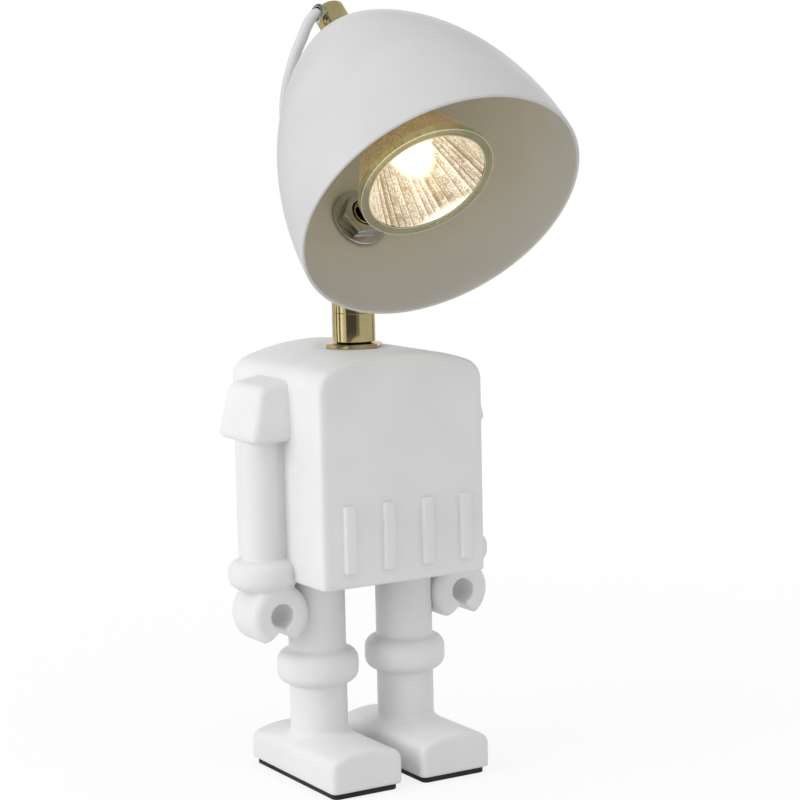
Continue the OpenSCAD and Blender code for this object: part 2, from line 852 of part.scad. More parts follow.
module neck_tube() {
    color(brass)
        translate([0, 0, tube_low_z])
            ring(thread_r, thread_bore / 2, spigot_z - tube_top_gap - tube_low_z);
}

module neck_inner_washer() {
    color(nickel)
        translate([0, 0, roof_z - washer_t])
            ring(flange_washer_d / 2, thread_hole_r, washer_t);
}

module neck_inner_nut() {
    color(brass)
        translate([0, 0, roof_z - washer_t - shade_nut_h])
            hex_nut(shade_nut_af, thread_hole_r, shade_nut_h);
}

module neck_lock_nut() {
    chamfer_r = lock_nut_af / 2 + lock_nut_chamfer;
    color(brass)
        translate([0, 0, torso_top])
            intersection() {
                hex_nut(lock_nut_af, thread_hole_r, lock_nut_h);
                cylinder(r1 = chamfer_r + lock_nut_h, r2 = chamfer_r, h = lock_nut_h);
            }
}

module swivel_collar() {
    color(brass)
        translate([0, 0, collar_z])
            difference() {
                cylinder(d = post_d, h = collar_h);
                translate([0, 0, -past])
                    cylinder(r = thread_hole_r, h = collar_h + past);
                translate([0, 0, collar_h - spigot_h - play])
                    cylinder(d = spigot_d, h = spigot_h + play + past);
                translate([0, 0, stop_z - collar_z])
                    rotate([-90, 0, 0])
                        cylinder(r = stop_screw_d / 2 + fit, h = post_d);
            }
}

module stop_screw() {
    tip_y = stop_groove_r + play;
    length = post_d / 2 - stop_sunk - tip_y;
    color(nickel)
        translate([0, tip_y, stop_z])
            rotate([-90, 0, 0])
                difference() {
                    cylinder(d = stop_screw_d, h = length);
                    translate([0, 0, length - stop_depth])
                        cylinder(d = stop_screw_d / 2, h = stop_depth + past, $fn = 6);
                }
}

module fork_outline() {
    // drawn with x as the figure's Y and y as its Z
    hull() {
        translate([-post_d / 2, fork_z]) square([post_d, fork_round_h]);
        translate([pivot_back, pivot_z]) circle(knuckle_r, $fn = 64);
    }
}

module knuckle_fork() {
    slot_floor = pivot_z - knuckle_r - 2 * play;
    groove_span = 2 * (pan_limit + stop_reach_deg);
    color(brass)
        difference() {
            union() {
                intersection() {
                    translate([-post_d / 2, 0, 0])
                        rotate([90, 0, 90])
                            linear_extrude(post_d)
                                fork_outline();
                    translate([0, 0, fork_z]) cylinder(d = post_d, h = pivot_z);
                }
                translate([0, 0, spigot_z]) cylinder(r = spigot_r, h = fork_z + past - spigot_z);
            }
            // slot for the tongue
            translate([-slot_w / 2, -post_d, slot_floor])
                cube([slot_w, 2 * post_d, pivot_z]);
            // pivot screw
            translate([-post_d, pivot_back, pivot_z])
                rotate([0, 90, 0])
                    cylinder(r = pivot_screw_d / 2 + fit, h = 2 * post_d);
            for (side = [-1, 1])
                translate([side * spot_x, pivot_back, pivot_z])
                    rotate([0, side * 90, 0])
                        cylinder(r = spot_r, h = post_d);
            // groove for the stop screw, which ends at a web in front
            translate([0, 0, stop_z - stop_groove_h / 2])
                rotate([0, 0, 90 - groove_span / 2])
                    rotate_extrude(angle = groove_span)
                        translate([stop_groove_r, 0])
                            square([spigot_r, stop_groove_h]);
            // way for the lead, and the bush's seat
            translate([0, 0, spigot_z - past])
                cylinder(d = lead_bore, h = bush_z - spigot_z + past);
            translate([0, 0, bush_z])
                rotate([-90, 0, 0])
                    cylinder(r = cord_d / 2 + cord_room, h = post_d);
            translate([0, fork_back(bush_z) - bush_seat, bush_z])
                rotate([-90, 0, 0])
                    cylinder(d = bush_d, h = post_d);
        }
}

module cord_bush() {
    length = bush_seat + bush_proud;
    color(nickel)
        translate([0, fork_back(bush_z) - bush_seat, bush_z])
            rotate([-90, 0, 0])
                difference() {
                    rotate_extrude()
                        round_rim(bush_d / 2 - fit, length, bush_round);
                    translate([0, 0, -past])
                        cylinder(r = cord_d / 2 + fit, h = length + 2 * past);
                }
}

module knuckle_screw() {
    color(brass)
        translate([0, pivot_back, pivot_z])
            rotate([0, -90, 0])
                translate([0, 0, -spot_x - pivot_nut_h])
                    slot_screw(pivot_screw_d / 2, 2 * spot_x + pivot_nut_h, pivot_head_r, pivot_head_h);
}

module knuckle_nut() {
    color(brass)
        translate([spot_x, pivot_back, pivot_z])
            rotate([0, 90, 0])
                hex_nut(pivot_nut_af, pivot_screw_d / 2 + fit, pivot_nut_h);
}

module friction_washers() {
    color(nickel)
        for (side = [-1, 1])
            translate([side * (tongue_t + friction_washer_t + fit) / 2, pivot_back, pivot_z])
                rotate([0, 90, 0])
                    translate([0, 0, -friction_washer_t / 2])
                        ring(knuckle_r, pivot_screw_d / 2 + fit, friction_washer_t);
}

module knuckle_tongue() {
    color(brass)
        on_stub()
            difference() {
                union() {
                    rotate([0, 90, 0])
                        cylinder(r = knuckle_r, h = tongue_t, center = true);
                    translate([-tongue_t / 2, -knuckle_r, 0])
                        cube([tongue_t, 2 * knuckle_r, shoulder_far]);
                    translate([0, 0, shoulder_near])
                        cylinder(d = tongue_shoulder_d, h = shoulder_far - shoulder_near);
                    cylinder(r = thread_r, h = stub_end);
                }
                rotate([0, 90, 0])
                    cylinder(r = pivot_screw_d / 2 + fit, h = 2 * post_d, center = true);
                translate([0, 0, shoulder_far])
                    cylinder(d = thread_bore, h = stub_end);
                // the stub's round foot gives way to the fork's cheeks
                for (side = [-1, 1])
                    translate([side * (tongue_t / 2 + post_d / 2), 0, 0])
                        cube([post_d, 2 * post_d, 2 * shoulder_near], center = true);
            }
}

// Shade

module flange_washer() {
    color(nickel)
        on_stub()
            translate([0, 0, washer_seat])
                ring(flange_washer_d / 2, thread_hole_r, washer_t);
}

module shade_nut() {
    color(nickel)
        on_stub()
            translate([0, 0, washer_seat + washer_t])
                hex_nut(shade_nut_af, thread_hole_r, shade_nut_h);
}

module shade_shell() {
    steps = [for (i = [0:dome_steps]) dome_flat_s * sin(90 * i / dome_steps)];
    outer = [for (s = steps) dome_outer(s)];
    inner = [for (i = [dome_steps - 1:-1:0]) dome_inner(steps[i])];
    top_in = [dome_inner(dome_flat_s)[0], dome_roof_s];
    color(white)
        difference() {
            in_shade()
                rotate_extrude($fn = 128)
                    polygon(concat(outer, [[0, dome_flat_s], [0, dome_roof_s], top_in], inner));
            in_shade()
                translate([0, 0, dome_flat_s - cap_h])
                    cylinder(r = nipple_d / 2 + shell_hole_room, h = 2 * cap_h);
            on_stub()
                cylinder(r = thread_hole_r + shell_hole_room, h = stub_end);
        }
}

module shade_cap() {
    color(brass)
        difference() {
            in_shade()
                translate([0, 0, dome_flat_s])
                    difference() {
                        rotate_extrude()
                            union() {
                                square([cap_d / 2, cap_h - cap_round]);
                                square([cap_d / 2 - cap_round, cap_h]);
                                translate([cap_d / 2 - cap_round, cap_h - cap_round]) circle(cap_round);
                            }
                        translate([0, 0, -past])
                            cylinder(d = nipple_d, h = cap_h - cap_roof + past);
                    }
            on_gland()
                cylinder(d = gland_stub_d, h = cap_d);
        }
}

module cap_nipple() {
    color(brass)
        in_shade()
            translate([0, 0, nipple_low_s])
                ring(nipple_d / 2 - fit, nipple_bore / 2, nipple_high_s - nipple_low_s);
}

module nipple_nut() {
    color(nickel)
        in_shade()
            translate([0, 0, strap_top_s - strap_t - nipple_nut_h])
                hex_nut(nipple_nut_af, nipple_d / 2, nipple_nut_h);
}

module cap_gland() {
    seat = cap_d / 2 - gland_seat;
    color(nickel)
        difference() {
            union() {
                difference() {
                    on_gland()
                        translate([0, 0, seat])
                            rotate_extrude() round_rim(gland_d / 2, gland_seat + gland_proud, gland_round);
                    in_shade()
                        translate([0, 0, dome_flat_s])
                            cylinder(r = cap_d / 2 + fit, h = 2 * cap_h);
                }
                on_gland()
                    translate([0, 0, seat])
                        cylinder(d = gland_stub_d - 2 * fit, h = gland_seat + gland_proud / 2);
            }
            on_gland()
                cylinder(r = cord_d / 2 + gland_room, h = 2 * cap_d);
        }
}

module jumper_cord() {
    color("gainsboro") swept_tube(cord_route, cord_d / 2, cord_sides);
}

// Lampholder

module holder_bracket() {
    foot_s = holder_top_s;
    foot_span = strap_foot + strap_t;
    foot_mid = strap_half + (strap_foot - strap_t) / 2;
    color(nickel)
        in_shade()
            difference() {
                union() {
                    translate([-strap_half, -strap_w / 2, strap_top_s - strap_t])
                        cube([2 * strap_half, strap_w, strap_t]);
                    translate([0, 0, strap_top_s - strap_t])
                        cylinder(r = strap_boss_r, h = strap_t + strap_boss_h);
                    for (side = [-1, 1]) {
                        translate([side * (strap_half - strap_t / 2) - strap_t / 2, -strap_w / 2, foot_s])
                            cube([strap_t, strap_w, strap_top_s - foot_s]);
                        translate([side * foot_mid - foot_span / 2, -strap_w / 2, foot_s])
                            cube([foot_span, strap_w, strap_t]);
                    }
                }
                translate([0, 0, foot_s]) cylinder(r = nipple_d / 2 + fit, h = cap_h + strap_top_s - foot_s);
                for (side = [-1, 1])
                    translate([side * holder_screw_x, 0, foot_s - past])
                        cylinder(r = holder_screw_r + fit, h = strap_t + 2 * past);
            }
}

module holder_screws() {
    length = holder_h / 2;
    color(nickel)
        in_shade()
            for (side = [-1, 1])
                translate([side * holder_screw_x, 0, holder_top_s + strap_t - length])
                    slot_screw(holder_screw_r, length, holder_screw_head_r, holder_screw_head_h);
}

// Room for a pin: its way in, its arc to the locked place, and the pocket behind the plate
module pin_way(neck_r, head_r) {
    translate([pin_spacing / 2, 0, 0]) cylinder(r = neck_r, h = holder_plate + past);
    rotate([0, 0, -twist])
        rotate_extrude(angle = twist)
            translate([pin_spacing / 2 - neck_r, 0])
                square([2 * neck_r, holder_plate + past]);
    rotate([0, 0, -twist])
        translate([pin_spacing / 2, 0, 0])
            cylinder(r = head_r, h = contact_s + contact_h - holder_s + past);
    translate([0, 0, holder_plate + past])
        rotate([0, 0, -twist])
            rotate_extrude(angle = twist)
                translate([pin_spacing / 2 - head_r, 0])
                    square([2 * head_r, contact_s + contact_h - holder_s - holder_plate]);
    translate([pin_spacing / 2, 0, holder_plate + past])
        cylinder(r = head_r, h = contact_s + contact_h - holder_s - holder_plate);
}

module lampholder() {
    color(ceramic)
        in_shade()
            translate([0, 0, holder_s])
                difference() {
                    rotate_extrude() round_rim(holder_d / 2, holder_h, holder_round);
                    for (turn = [90, 270])
                        rotate([0, 0, turn])
                            translate([0, 0, -past])
                                pin_way(pin_neck_d / 2 + play, pin_head_d / 2 + play);
                    for (side = [-1, 1])
                        translate([side * holder_screw_x, 0, holder_h / 2 - past])
                            cylinder(r = holder_screw_r + fit, h = holder_h);
                }
}

module holder_contacts() {
    color(brass)
        in_shade()
            for (turn = [90, 270])
                rotate([0, 0, turn])
                    translate([pin_spacing / 2, 0, contact_s])
                        cylinder(d = contact_d, h = contact_h);
}

module holder_leads() {
    color(white)
        in_shade()
            for (side = [-1, 1])
                translate([0, side * wire_y, holder_top_s])
                    cylinder(r = wire_r, h = nipple_high_s - holder_top_s);
}

// Bulb

// Outline of the reflector bowl, a parabola from the rim back to the neck
function bowl_radius(s) =
    let (share = (s - bulb_rim_h) / (bowl_depth - bulb_rim_h))
    sqrt(pow(bowl_rim_r, 2) + share * (pow(bowl_neck_r, 2) - pow(bowl_rim_r, 2)));

module bulb_reflector() {
    run = bowl_depth - bulb_rim_h;
    levels = [for (i = [0:bowl_steps]) bulb_rim_h + run * i / bowl_steps];
    outer = [for (s = levels) [bowl_radius(s), s]];
    inner = [for (i = [bowl_steps:-1:0]) [bowl_radius(levels[i]) - bulb_wall, levels[i]]];
    rim_r = bulb_d / 2;
    color("lightgoldenrodyellow")
        in_shade()
            translate([0, 0, bulb_inset])
                rotate_extrude()
                    polygon(concat(
                        [[lens_r, 0], [rim_r - rim_chamfer, 0]],
                        [[rim_r, rim_chamfer], [rim_r, bulb_rim_h - rim_chamfer]],
                        outer, inner, [[lens_r, bulb_rim_h]]
                    ));
}

module bulb_lens() {
    color("lightcyan")
        in_shade()
            translate([0, 0, bulb_inset + lens_sunk])
                cylinder(r = lens_r - fit, h = lens_t);
}

module bulb_base() {
    base_r = bulb_base_d / 2;
    base_h = bulb_len - bowl_depth;
    waist_r = base_r - base_waist;
    color(ceramic)
        in_shade()
            translate([0, 0, bulb_inset + bowl_depth])
                rotate_extrude()
                    polygon([
                        [0, 0], [base_r, 0], [base_r, base_h * 0.35], [waist_r, base_h * 0.45],
                        [waist_r, base_h * 0.7], [base_r, base_h * 0.8], [base_r, base_h - base_chamfer],
                        [base_r - base_chamfer, base_h], [0, base_h]
                    ]);
}

module bulb_pins() {
    color(nickel)
        in_shade()
            for (turn = [90, 270])
                rotate([0, 0, turn])
                    translate([pin_spacing / 2, 0, 0]) {
                        translate([0, 0, bulb_back_s]) cylinder(d = pin_neck_d, h = head_s - bulb_back_s);
                        translate([0, 0, head_s]) cylinder(d = pin_head_d, h = head_h);
                    }
}

module bulb_capsule() {
    color("ivory")
        in_shade()
            translate([0, 0, bulb_inset + bowl_depth - capsule_len]) {
                translate([0, 0, capsule_r]) cylinder(r = capsule_r, h = capsule_len - capsule_r);
                translate([0, 0, capsule_r]) sphere(capsule_r);
            }
}

torso();
right_arm();
left_arm();
right_leg();
left_leg();
right_foot_pad();
left_foot_pad();
hatch_plate();
hatch_screws();
mains_grommet();
terminal_block();
terminal_screws();
neck_lead();
neck_tube();
neck_inner_washer();
neck_inner_nut();
neck_lock_nut();
swivel_collar();
stop_screw();
knuckle_fork();
cord_bush();
knuckle_screw();
knuckle_nut();
friction_washers();
knuckle_tongue();
flange_washer();
shade_nut();
shade_shell();
shade_cap();
cap_nipple();
nipple_nut();
cap_gland();
jumper_cord();
holder_bracket();
holder_screws();
lampholder();
holder_contacts();
holder_leads();
bulb_reflector();
bulb_lens();
bulb_base();
bulb_pins();
bulb_capsule();
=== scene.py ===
"""A robot figure table lamp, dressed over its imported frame.

The sizes are in millimetres and in the lamp's own frame: +Z is up, the figure faces -Y, and the origin lies
on the table under the neck. Each class below is one sub-assembly, and main() builds them in order.
"""
import logging
import math
from dataclasses import dataclass, field
from enum import Enum
from typing import Sequence

import bmesh
import bpy
from mathutils import Matrix, Vector


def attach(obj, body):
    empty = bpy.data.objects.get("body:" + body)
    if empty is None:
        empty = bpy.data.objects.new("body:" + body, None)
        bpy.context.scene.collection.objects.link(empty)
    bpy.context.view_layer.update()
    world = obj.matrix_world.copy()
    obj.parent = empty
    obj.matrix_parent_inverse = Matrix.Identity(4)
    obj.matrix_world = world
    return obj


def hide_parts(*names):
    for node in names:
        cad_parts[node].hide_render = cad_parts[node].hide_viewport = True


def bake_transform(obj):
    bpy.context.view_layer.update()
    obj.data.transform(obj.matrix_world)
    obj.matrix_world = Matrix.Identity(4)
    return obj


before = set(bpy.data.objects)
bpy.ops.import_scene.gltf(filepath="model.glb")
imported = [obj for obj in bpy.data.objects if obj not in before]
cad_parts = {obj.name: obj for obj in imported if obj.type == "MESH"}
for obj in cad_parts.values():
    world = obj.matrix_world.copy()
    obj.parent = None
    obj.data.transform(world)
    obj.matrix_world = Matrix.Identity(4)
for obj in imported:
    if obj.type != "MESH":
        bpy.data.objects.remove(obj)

LOG = logging.getLogger("robot_lamp")
MM = 0.001
PAST = 2.0  # how far a cutter reaches past a face
SOFT = 180.0  # limit of a piece on which no edge looks sharp
HIP = 74.7
TORSO_WIDTH = 67.4
Outline = list[tuple[float, float]]
Colour = tuple[float, float, float]


class Body(Enum):
    """The moving bodies of the lamp."""

    FIGURE = "figure"
    SWIVEL = "swivel"
    SHADE = "shade"
    BULB = "bulb"


class Side(Enum):
    """The figure's own right and left, as the sign of X."""

    RIGHT = -1
    LEFT = 1


def arc(centre: tuple[float, float], radius: float, start: float, end: float, steps: int) -> Outline:
    """Draw an arc of an outline.

    Args:
        centre: Middle of the arc.
        radius: Radius of the arc.
        start: First angle, in degrees from the outline's first axis.
        end: Last angle, in degrees.
        steps: Number of chords.

    Returns:
        The arc's points, both ends included.
    """
    turns = [math.radians(start + (end - start) * i / steps) for i in range(steps + 1)]
    return [(centre[0] + radius * math.cos(t), centre[1] + radius * math.sin(t)) for t in turns]


def round_rim(radius: float, low: float, high: float, rounding: float, inner: float = 0.0) -> Outline:
    """Draw the half outline of a disc or ring with a rounded rim.

    Args:
        radius: Outside radius.
        low: Height of the underside.
        high: Height of the top.
        rounding: Radius of the rim's two edges.
        inner: Radius of the bore, or 0 for a disc that closes on the axis.

    Returns:
        The outline from the bottom at the bore to the top at the bore.
    """
    return (
        [(inner, low)]
        + arc((radius - rounding, low + rounding), rounding, -90, 0, 8)
        + arc((radius - rounding, high - rounding), rounding, 0, 90, 8)
        + [(inner, high)]
    )


def show(name: str, data: bpy.types.ID) -> bpy.types.Object:
    """Put data into the scene as an object.

    Args:
        name: Name of the object.
        data: Its mesh, curve, camera or light.

    Returns:
        The object, at the origin.
    """
    made = bpy.data.objects.new(name, data)
    bpy.context.scene.collection.objects.link(made)
    return made


class Blank:
    """A mesh in the making, in millimetres, that bmesh operators shape."""

    def __init__(self) -> None:
        """Start with nothing."""
        self.bm = bmesh.new()

    def tidy(self) -> "Blank":
        """Merge doubled points, drop slivers and turn the faces outwards.

        Returns:
            This blank.
        """
        bmesh.ops.remove_doubles(self.bm, verts=self.bm.verts[:], dist=0.0005)
        bmesh.ops.dissolve_degenerate(self.bm, dist=0.0005, edges=self.bm.edges[:])
        bmesh.ops.recalc_face_normals(self.bm, faces=self.bm.faces[:])
        return self

    def soften(self, edges: Sequence[bmesh.types.BMEdge], reach: float, chords: int,
               clamp: bool = True) -> None:
        """Round some edges.

        Args:
            edges: The edges.
            reach: How far the rounding goes from each edge.
            chords: Number of chords across it.
            clamp: Whether it stops where it meets another.
        """
        bmesh.ops.bevel(self.bm, geom=edges, offset=reach, offset_type="OFFSET", segments=chords, profile=0.5,
                        affect="EDGES", clamp_overlap=clamp, material=-1)

    def lathe(self, outline: Outline, steps: int = 96, place: Matrix | None = None) -> "Blank":
        """Spin a half outline about Z.

        Args:
            outline: Points of (radius, height). It closes on the axis where both its ends lie there.
            steps: Number of stretches round the axis.
            place: Where the turned shape goes in the blank.

        Returns:
            This blank.
        """
        on_axis = outline[0][0] < 1e-6 and outline[-1][0] < 1e-6
        verts = [self.bm.verts.new((r, 0.0, z)) for r, z in outline]
        ends = verts[1:] if on_axis else verts[1:] + verts[:1]
        edges = [self.bm.edges.new(pair) for pair in zip(verts, ends)]
        before = set(self.bm.verts) - set(verts)
        bmesh.ops.spin(self.bm, geom=verts + edges, cent=(0, 0, 0), axis=(0, 0, 1), dvec=(0, 0, 0),
                       angle=math.tau, steps=steps, use_merge=True, use_normal_flip=False,
                       use_duplicate=False)
        if place is not None:
            made = [v for v in self.bm.verts if v not in before]
            bmesh.ops.transform(self.bm, matrix=place, verts=made, space=Matrix())
        return self.tidy()

    def arched_block(self, width: float, height: float, front: float, back: float, arch_r: float,
                     corner_r: float, edge_r: float, place: Matrix | None = None,
                     tail: tuple[float, float] | None = None) -> "Blank":
        """Draw an arch with spun arcs, extrude it front to back and round its front and back edges.

        Args:
            width: Width of the block, along X.
            height: Height of the block, to the top of its arch.
            front: Y of the front face.
            back: Y of the back face.
            arch_r: Radius of the arch.
            corner_r: Radius of the shoulders.
            edge_r: Rounding of the front and back edges.
            place: Where the block goes in the blank.
            tail: Y from which the top falls towards the back, and how far it falls.

        Returns:
            This blank.
        """
        before = set(self.bm.verts)
        corner_x = width / 2 - corner_r
        arch_z = height - arch_r
        corner_z = arch_z + math.sqrt((arch_r - corner_r) ** 2 - corner_x ** 2)
        lean = math.asin(corner_x / (arch_r - corner_r))
        first = self.bm.verts.new((width / 2, front, 0))
        tip = self.bm.verts.new((width / 2, front, corner_z))
        self.bm.edges.new((first, tip))
        for centre, angle, steps in (
            ((corner_x, front, corner_z), math.pi / 2 - lean, 14),
            ((0, front, arch_z), 2 * lean, 48),
            ((-corner_x, front, corner_z), math.pi / 2 - lean, 14),
        ):
            spun = bmesh.ops.spin(self.bm, geom=[tip], cent=centre, axis=(0, -1, 0), dvec=(0, 0, 0),
                                  angle=angle, steps=steps, use_merge=False, use_normal_flip=False,
                                  use_duplicate=False)
            tip = next(v for v in spun["geom_last"] if isinstance(v, bmesh.types.BMVert))
        last = self.bm.verts.new((-width / 2, front, 0))
        self.bm.edges.new((tip, last))
        self.bm.edges.new((last, first))
        outline = [e for e in self.bm.edges if not set(e.verts) & before]
        bmesh.ops.contextual_create(self.bm, geom=outline)
        face = [f for f in self.bm.faces if not set(f.verts) & before]
        pulled = bmesh.ops.extrude_face_region(self.bm, geom=face)
        moved = [v for v in pulled["geom"] if isinstance(v, bmesh.types.BMVert)]
        bmesh.ops.translate(self.bm, verts=moved, vec=(0, back - front, 0))
        rims = [
            e for e in self.bm.edges
            if e.verts[0] not in before and abs(e.verts[0].co.y - e.verts[1].co.y) < 1e-6
            and max(e.verts[0].co.z, e.verts[1].co.z) > 1e-6
        ]
        self.soften(rims, edge_r, 6, False)
        made = [v for v in self.bm.verts if v not in before]
        if tail is not None:
            faces = list({f for v in made for f in v.link_faces})
            edges = list({e for v in made for e in v.link_edges})
            bmesh.ops.bisect_plane(self.bm, geom=made + edges + faces, plane_co=(0, tail[0], 0),
                                   plane_no=(0, 1, 0))
            end = [v for v in made if v.co.y > back - edge_r - 1e-4]
            bmesh.ops.scale(self.bm, vec=(1, 1, 1 - tail[1] / height), verts=end)
        if place is not None:
            made = [v for v in self.bm.verts if v not in before]
            bmesh.ops.transform(self.bm, matrix=place, verts=made, space=Matrix())
        return self.tidy()

    def bar(self, low: Sequence[float], high: Sequence[float], rounding: float,
            top: Sequence[float] = (1, 1), segments: int = 5) -> "Blank":
        """Add a bar with rounded edges that may taper upwards.

        Args:
            low: Lowest corner.
            high: Highest corner.
            rounding: Radius of all its edges.
            top: Share of the width in X and Y that is left at the top, about the bar's middle.
            segments: Number of chords across a rounded edge.

        Returns:
            This blank.
        """
        size = Vector(high) - Vector(low)
        middle = (Vector(high) + Vector(low)) / 2
        made = bmesh.ops.create_cube(self.bm, size=1.0)["verts"]
        bmesh.ops.scale(self.bm, vec=(top[0], top[1], 1), verts=[v for v in made if v.co.z > 0])
        bmesh.ops.scale(self.bm, vec=size, verts=made)
        bmesh.ops.translate(self.bm, vec=middle, verts=made)
        edges = list({e for v in made for e in v.link_edges})
        self.soften(edges, rounding, segments)
        return self

    def plate(self, width: float, length: float, corner: float, low: float, high: float,
              soft: float = 0.0) -> "Blank":
        """Add a flat plate with rounded corners.

        Args:
            width: Size along X.
            length: Size along Y.
            corner: Radius of the upright corners.
            low: Z of the underside.
            high: Z of the top.
            soft: Rounding of the flat faces' edges.

        Returns:
            This blank.
        """
        made = bmesh.ops.create_cube(self.bm, size=1.0)["verts"]
        bmesh.ops.scale(self.bm, vec=(width, length, high - low), verts=made)
        bmesh.ops.translate(self.bm, vec=(0, 0, (high + low) / 2), verts=made)
        upright = [
            e for e in self.bm.edges
            if abs(e.verts[0].co.z - e.verts[1].co.z) > 1e-6 and e.verts[0] in made
        ]
        self.soften(upright, corner, 8)
        if soft > 0:
            rims = [e for e in self.bm.edges if len(e.link_faces) == 2 and e.calc_face_angle(0) > 1.0]
            self.soften(rims, soft, 3)
        return self

    def copy_node(self, node: str, soft: float, angle: float = 25.0) -> "Blank":
        """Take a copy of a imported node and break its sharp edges.

        Args:
            node: Name of the node.
            soft: Width of the broken edges, or 0 to leave them.
            angle: Least turn of a sharp edge, in degrees.

        Returns:
            This blank.
        """
        self.bm.from_mesh(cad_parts[node].data)
        bmesh.ops.scale(self.bm, vec=(1 / MM,) * 3, verts=self.bm.verts[:])
        bmesh.ops.remove_doubles(self.bm, verts=self.bm.verts[:], dist=0.002)
        bmesh.ops.dissolve_limit(self.bm, angle_limit=math.radians(1), verts=self.bm.verts[:],
                                 edges=self.bm.edges[:], use_dissolve_boundaries=False)
        if soft > 0:
            least = math.radians(angle)
            sharp = [e for e in self.bm.edges if len(e.link_faces) == 2 and e.calc_face_angle(0) > least]
            self.soften(sharp, soft, 2)
        return self

    def _draft(self) -> bpy.types.Object:
        """Put the blank into the scene for a modifier to work on.

        Returns:
            The draft.
        """
        mesh = bpy.data.meshes.new("draft")
        self.bm.to_mesh(mesh)
        return show("draft", mesh)

    def _take_back(self, draft: bpy.types.Object) -> None:
        """Read the changed draft into the blank and remove the draft.

        Args:
            draft: The draft, with its modifier.
        """
        graph = bpy.context.evaluated_depsgraph_get()
        mesh = bpy.data.meshes.new_from_object(draft.evaluated_get(graph))
        self.bm.clear()
        self.bm.from_mesh(mesh)
        bpy.data.meshes.remove(mesh)
        bpy.data.meshes.remove(draft.data)

    def carve(self, cutter: "Blank") -> "Blank":
        """Cut another blank out of this one.

        Args:
            cutter: What is cut away.

        Returns:
            This blank.
        """
        draft, tool = self._draft(), cutter._draft()
        change = draft.modifiers.new("carve", "BOOLEAN")
        change.operation = "DIFFERENCE"
        change.solver = "EXACT"
        change.use_self = True
        change.object = tool
        self._take_back(draft)
        bpy.data.meshes.remove(tool.data)
        return self

    def cast(self, grid: float, passes: int) -> "Blank":
        """Fuse overlapping shapes into one casting with soft inner corners.

        Args:
            grid: Size of the fused mesh's cells.
            passes: Number of smoothing passes.

        Returns:
            This blank.
        """
        draft = self._draft()
        change = draft.modifiers.new("cast", "REMESH")
        change.mode = "VOXEL"
        change.voxel_size = grid
        self._take_back(draft)
        for _ in range(passes):
            bmesh.ops.smooth_vert(self.bm, verts=self.bm.verts[:], factor=0.5, use_axis_x=True,
                                  use_axis_y=True, use_axis_z=True)
        return self

    def move(self, place: Matrix) -> "Blank":
        """Move the whole blank."""
        bmesh.ops.transform(self.bm, matrix=place, verts=self.bm.verts[:], space=Matrix())
        return self

    def flip(self) -> "Blank":
        """Mirror the blank from right to left.

        Returns:
            This blank.
        """
        bmesh.ops.scale(self.bm, vec=(-1, 1, 1), verts=self.bm.verts[:])
        bmesh.ops.reverse_faces(self.bm, faces=self.bm.faces[:])
        return self

    def piece(self, name: str, body: Body | None, finish: "Finish", nodes: Sequence[str] = (),
              place: Matrix | None = None, smooth: float = 22.0) -> bpy.types.Object:
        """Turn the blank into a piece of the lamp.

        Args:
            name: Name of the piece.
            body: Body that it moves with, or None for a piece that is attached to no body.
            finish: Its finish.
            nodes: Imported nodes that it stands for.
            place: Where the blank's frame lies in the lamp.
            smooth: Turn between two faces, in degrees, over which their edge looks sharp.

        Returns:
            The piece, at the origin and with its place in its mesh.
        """
        if place is not None:
            self.move(place)
        bmesh.ops.scale(self.bm, vec=(MM, MM, MM), verts=self.bm.verts[:])
        for face in self.bm.faces:
            face.smooth = True
        for edge in self.bm.edges:
            edge.smooth = len(edge.link_faces) == 2 and edge.calc_face_angle(0) < math.radians(smooth)
        mesh = bpy.data.meshes.new(name)
        self.bm.to_mesh(mesh)
        self.bm.free()
        made = show(name, mesh)
        mesh.materials.append(finish.material())
        if body is not None:
            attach(made, body.value)
        if nodes:
            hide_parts(*nodes)
        LOG.info("%s: %d faces for %s", name, len(mesh.polygons), ", ".join(nodes) or "no node")
        return made

    @classmethod
    def dress(cls, node: str, name: str, body: Body, finish: "Finish", soft: float) -> None:
        """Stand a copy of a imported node, with its edges broken by soft, in the node's place."""
        cls().copy_node(node, soft).piece(name, body, finish, (node,))


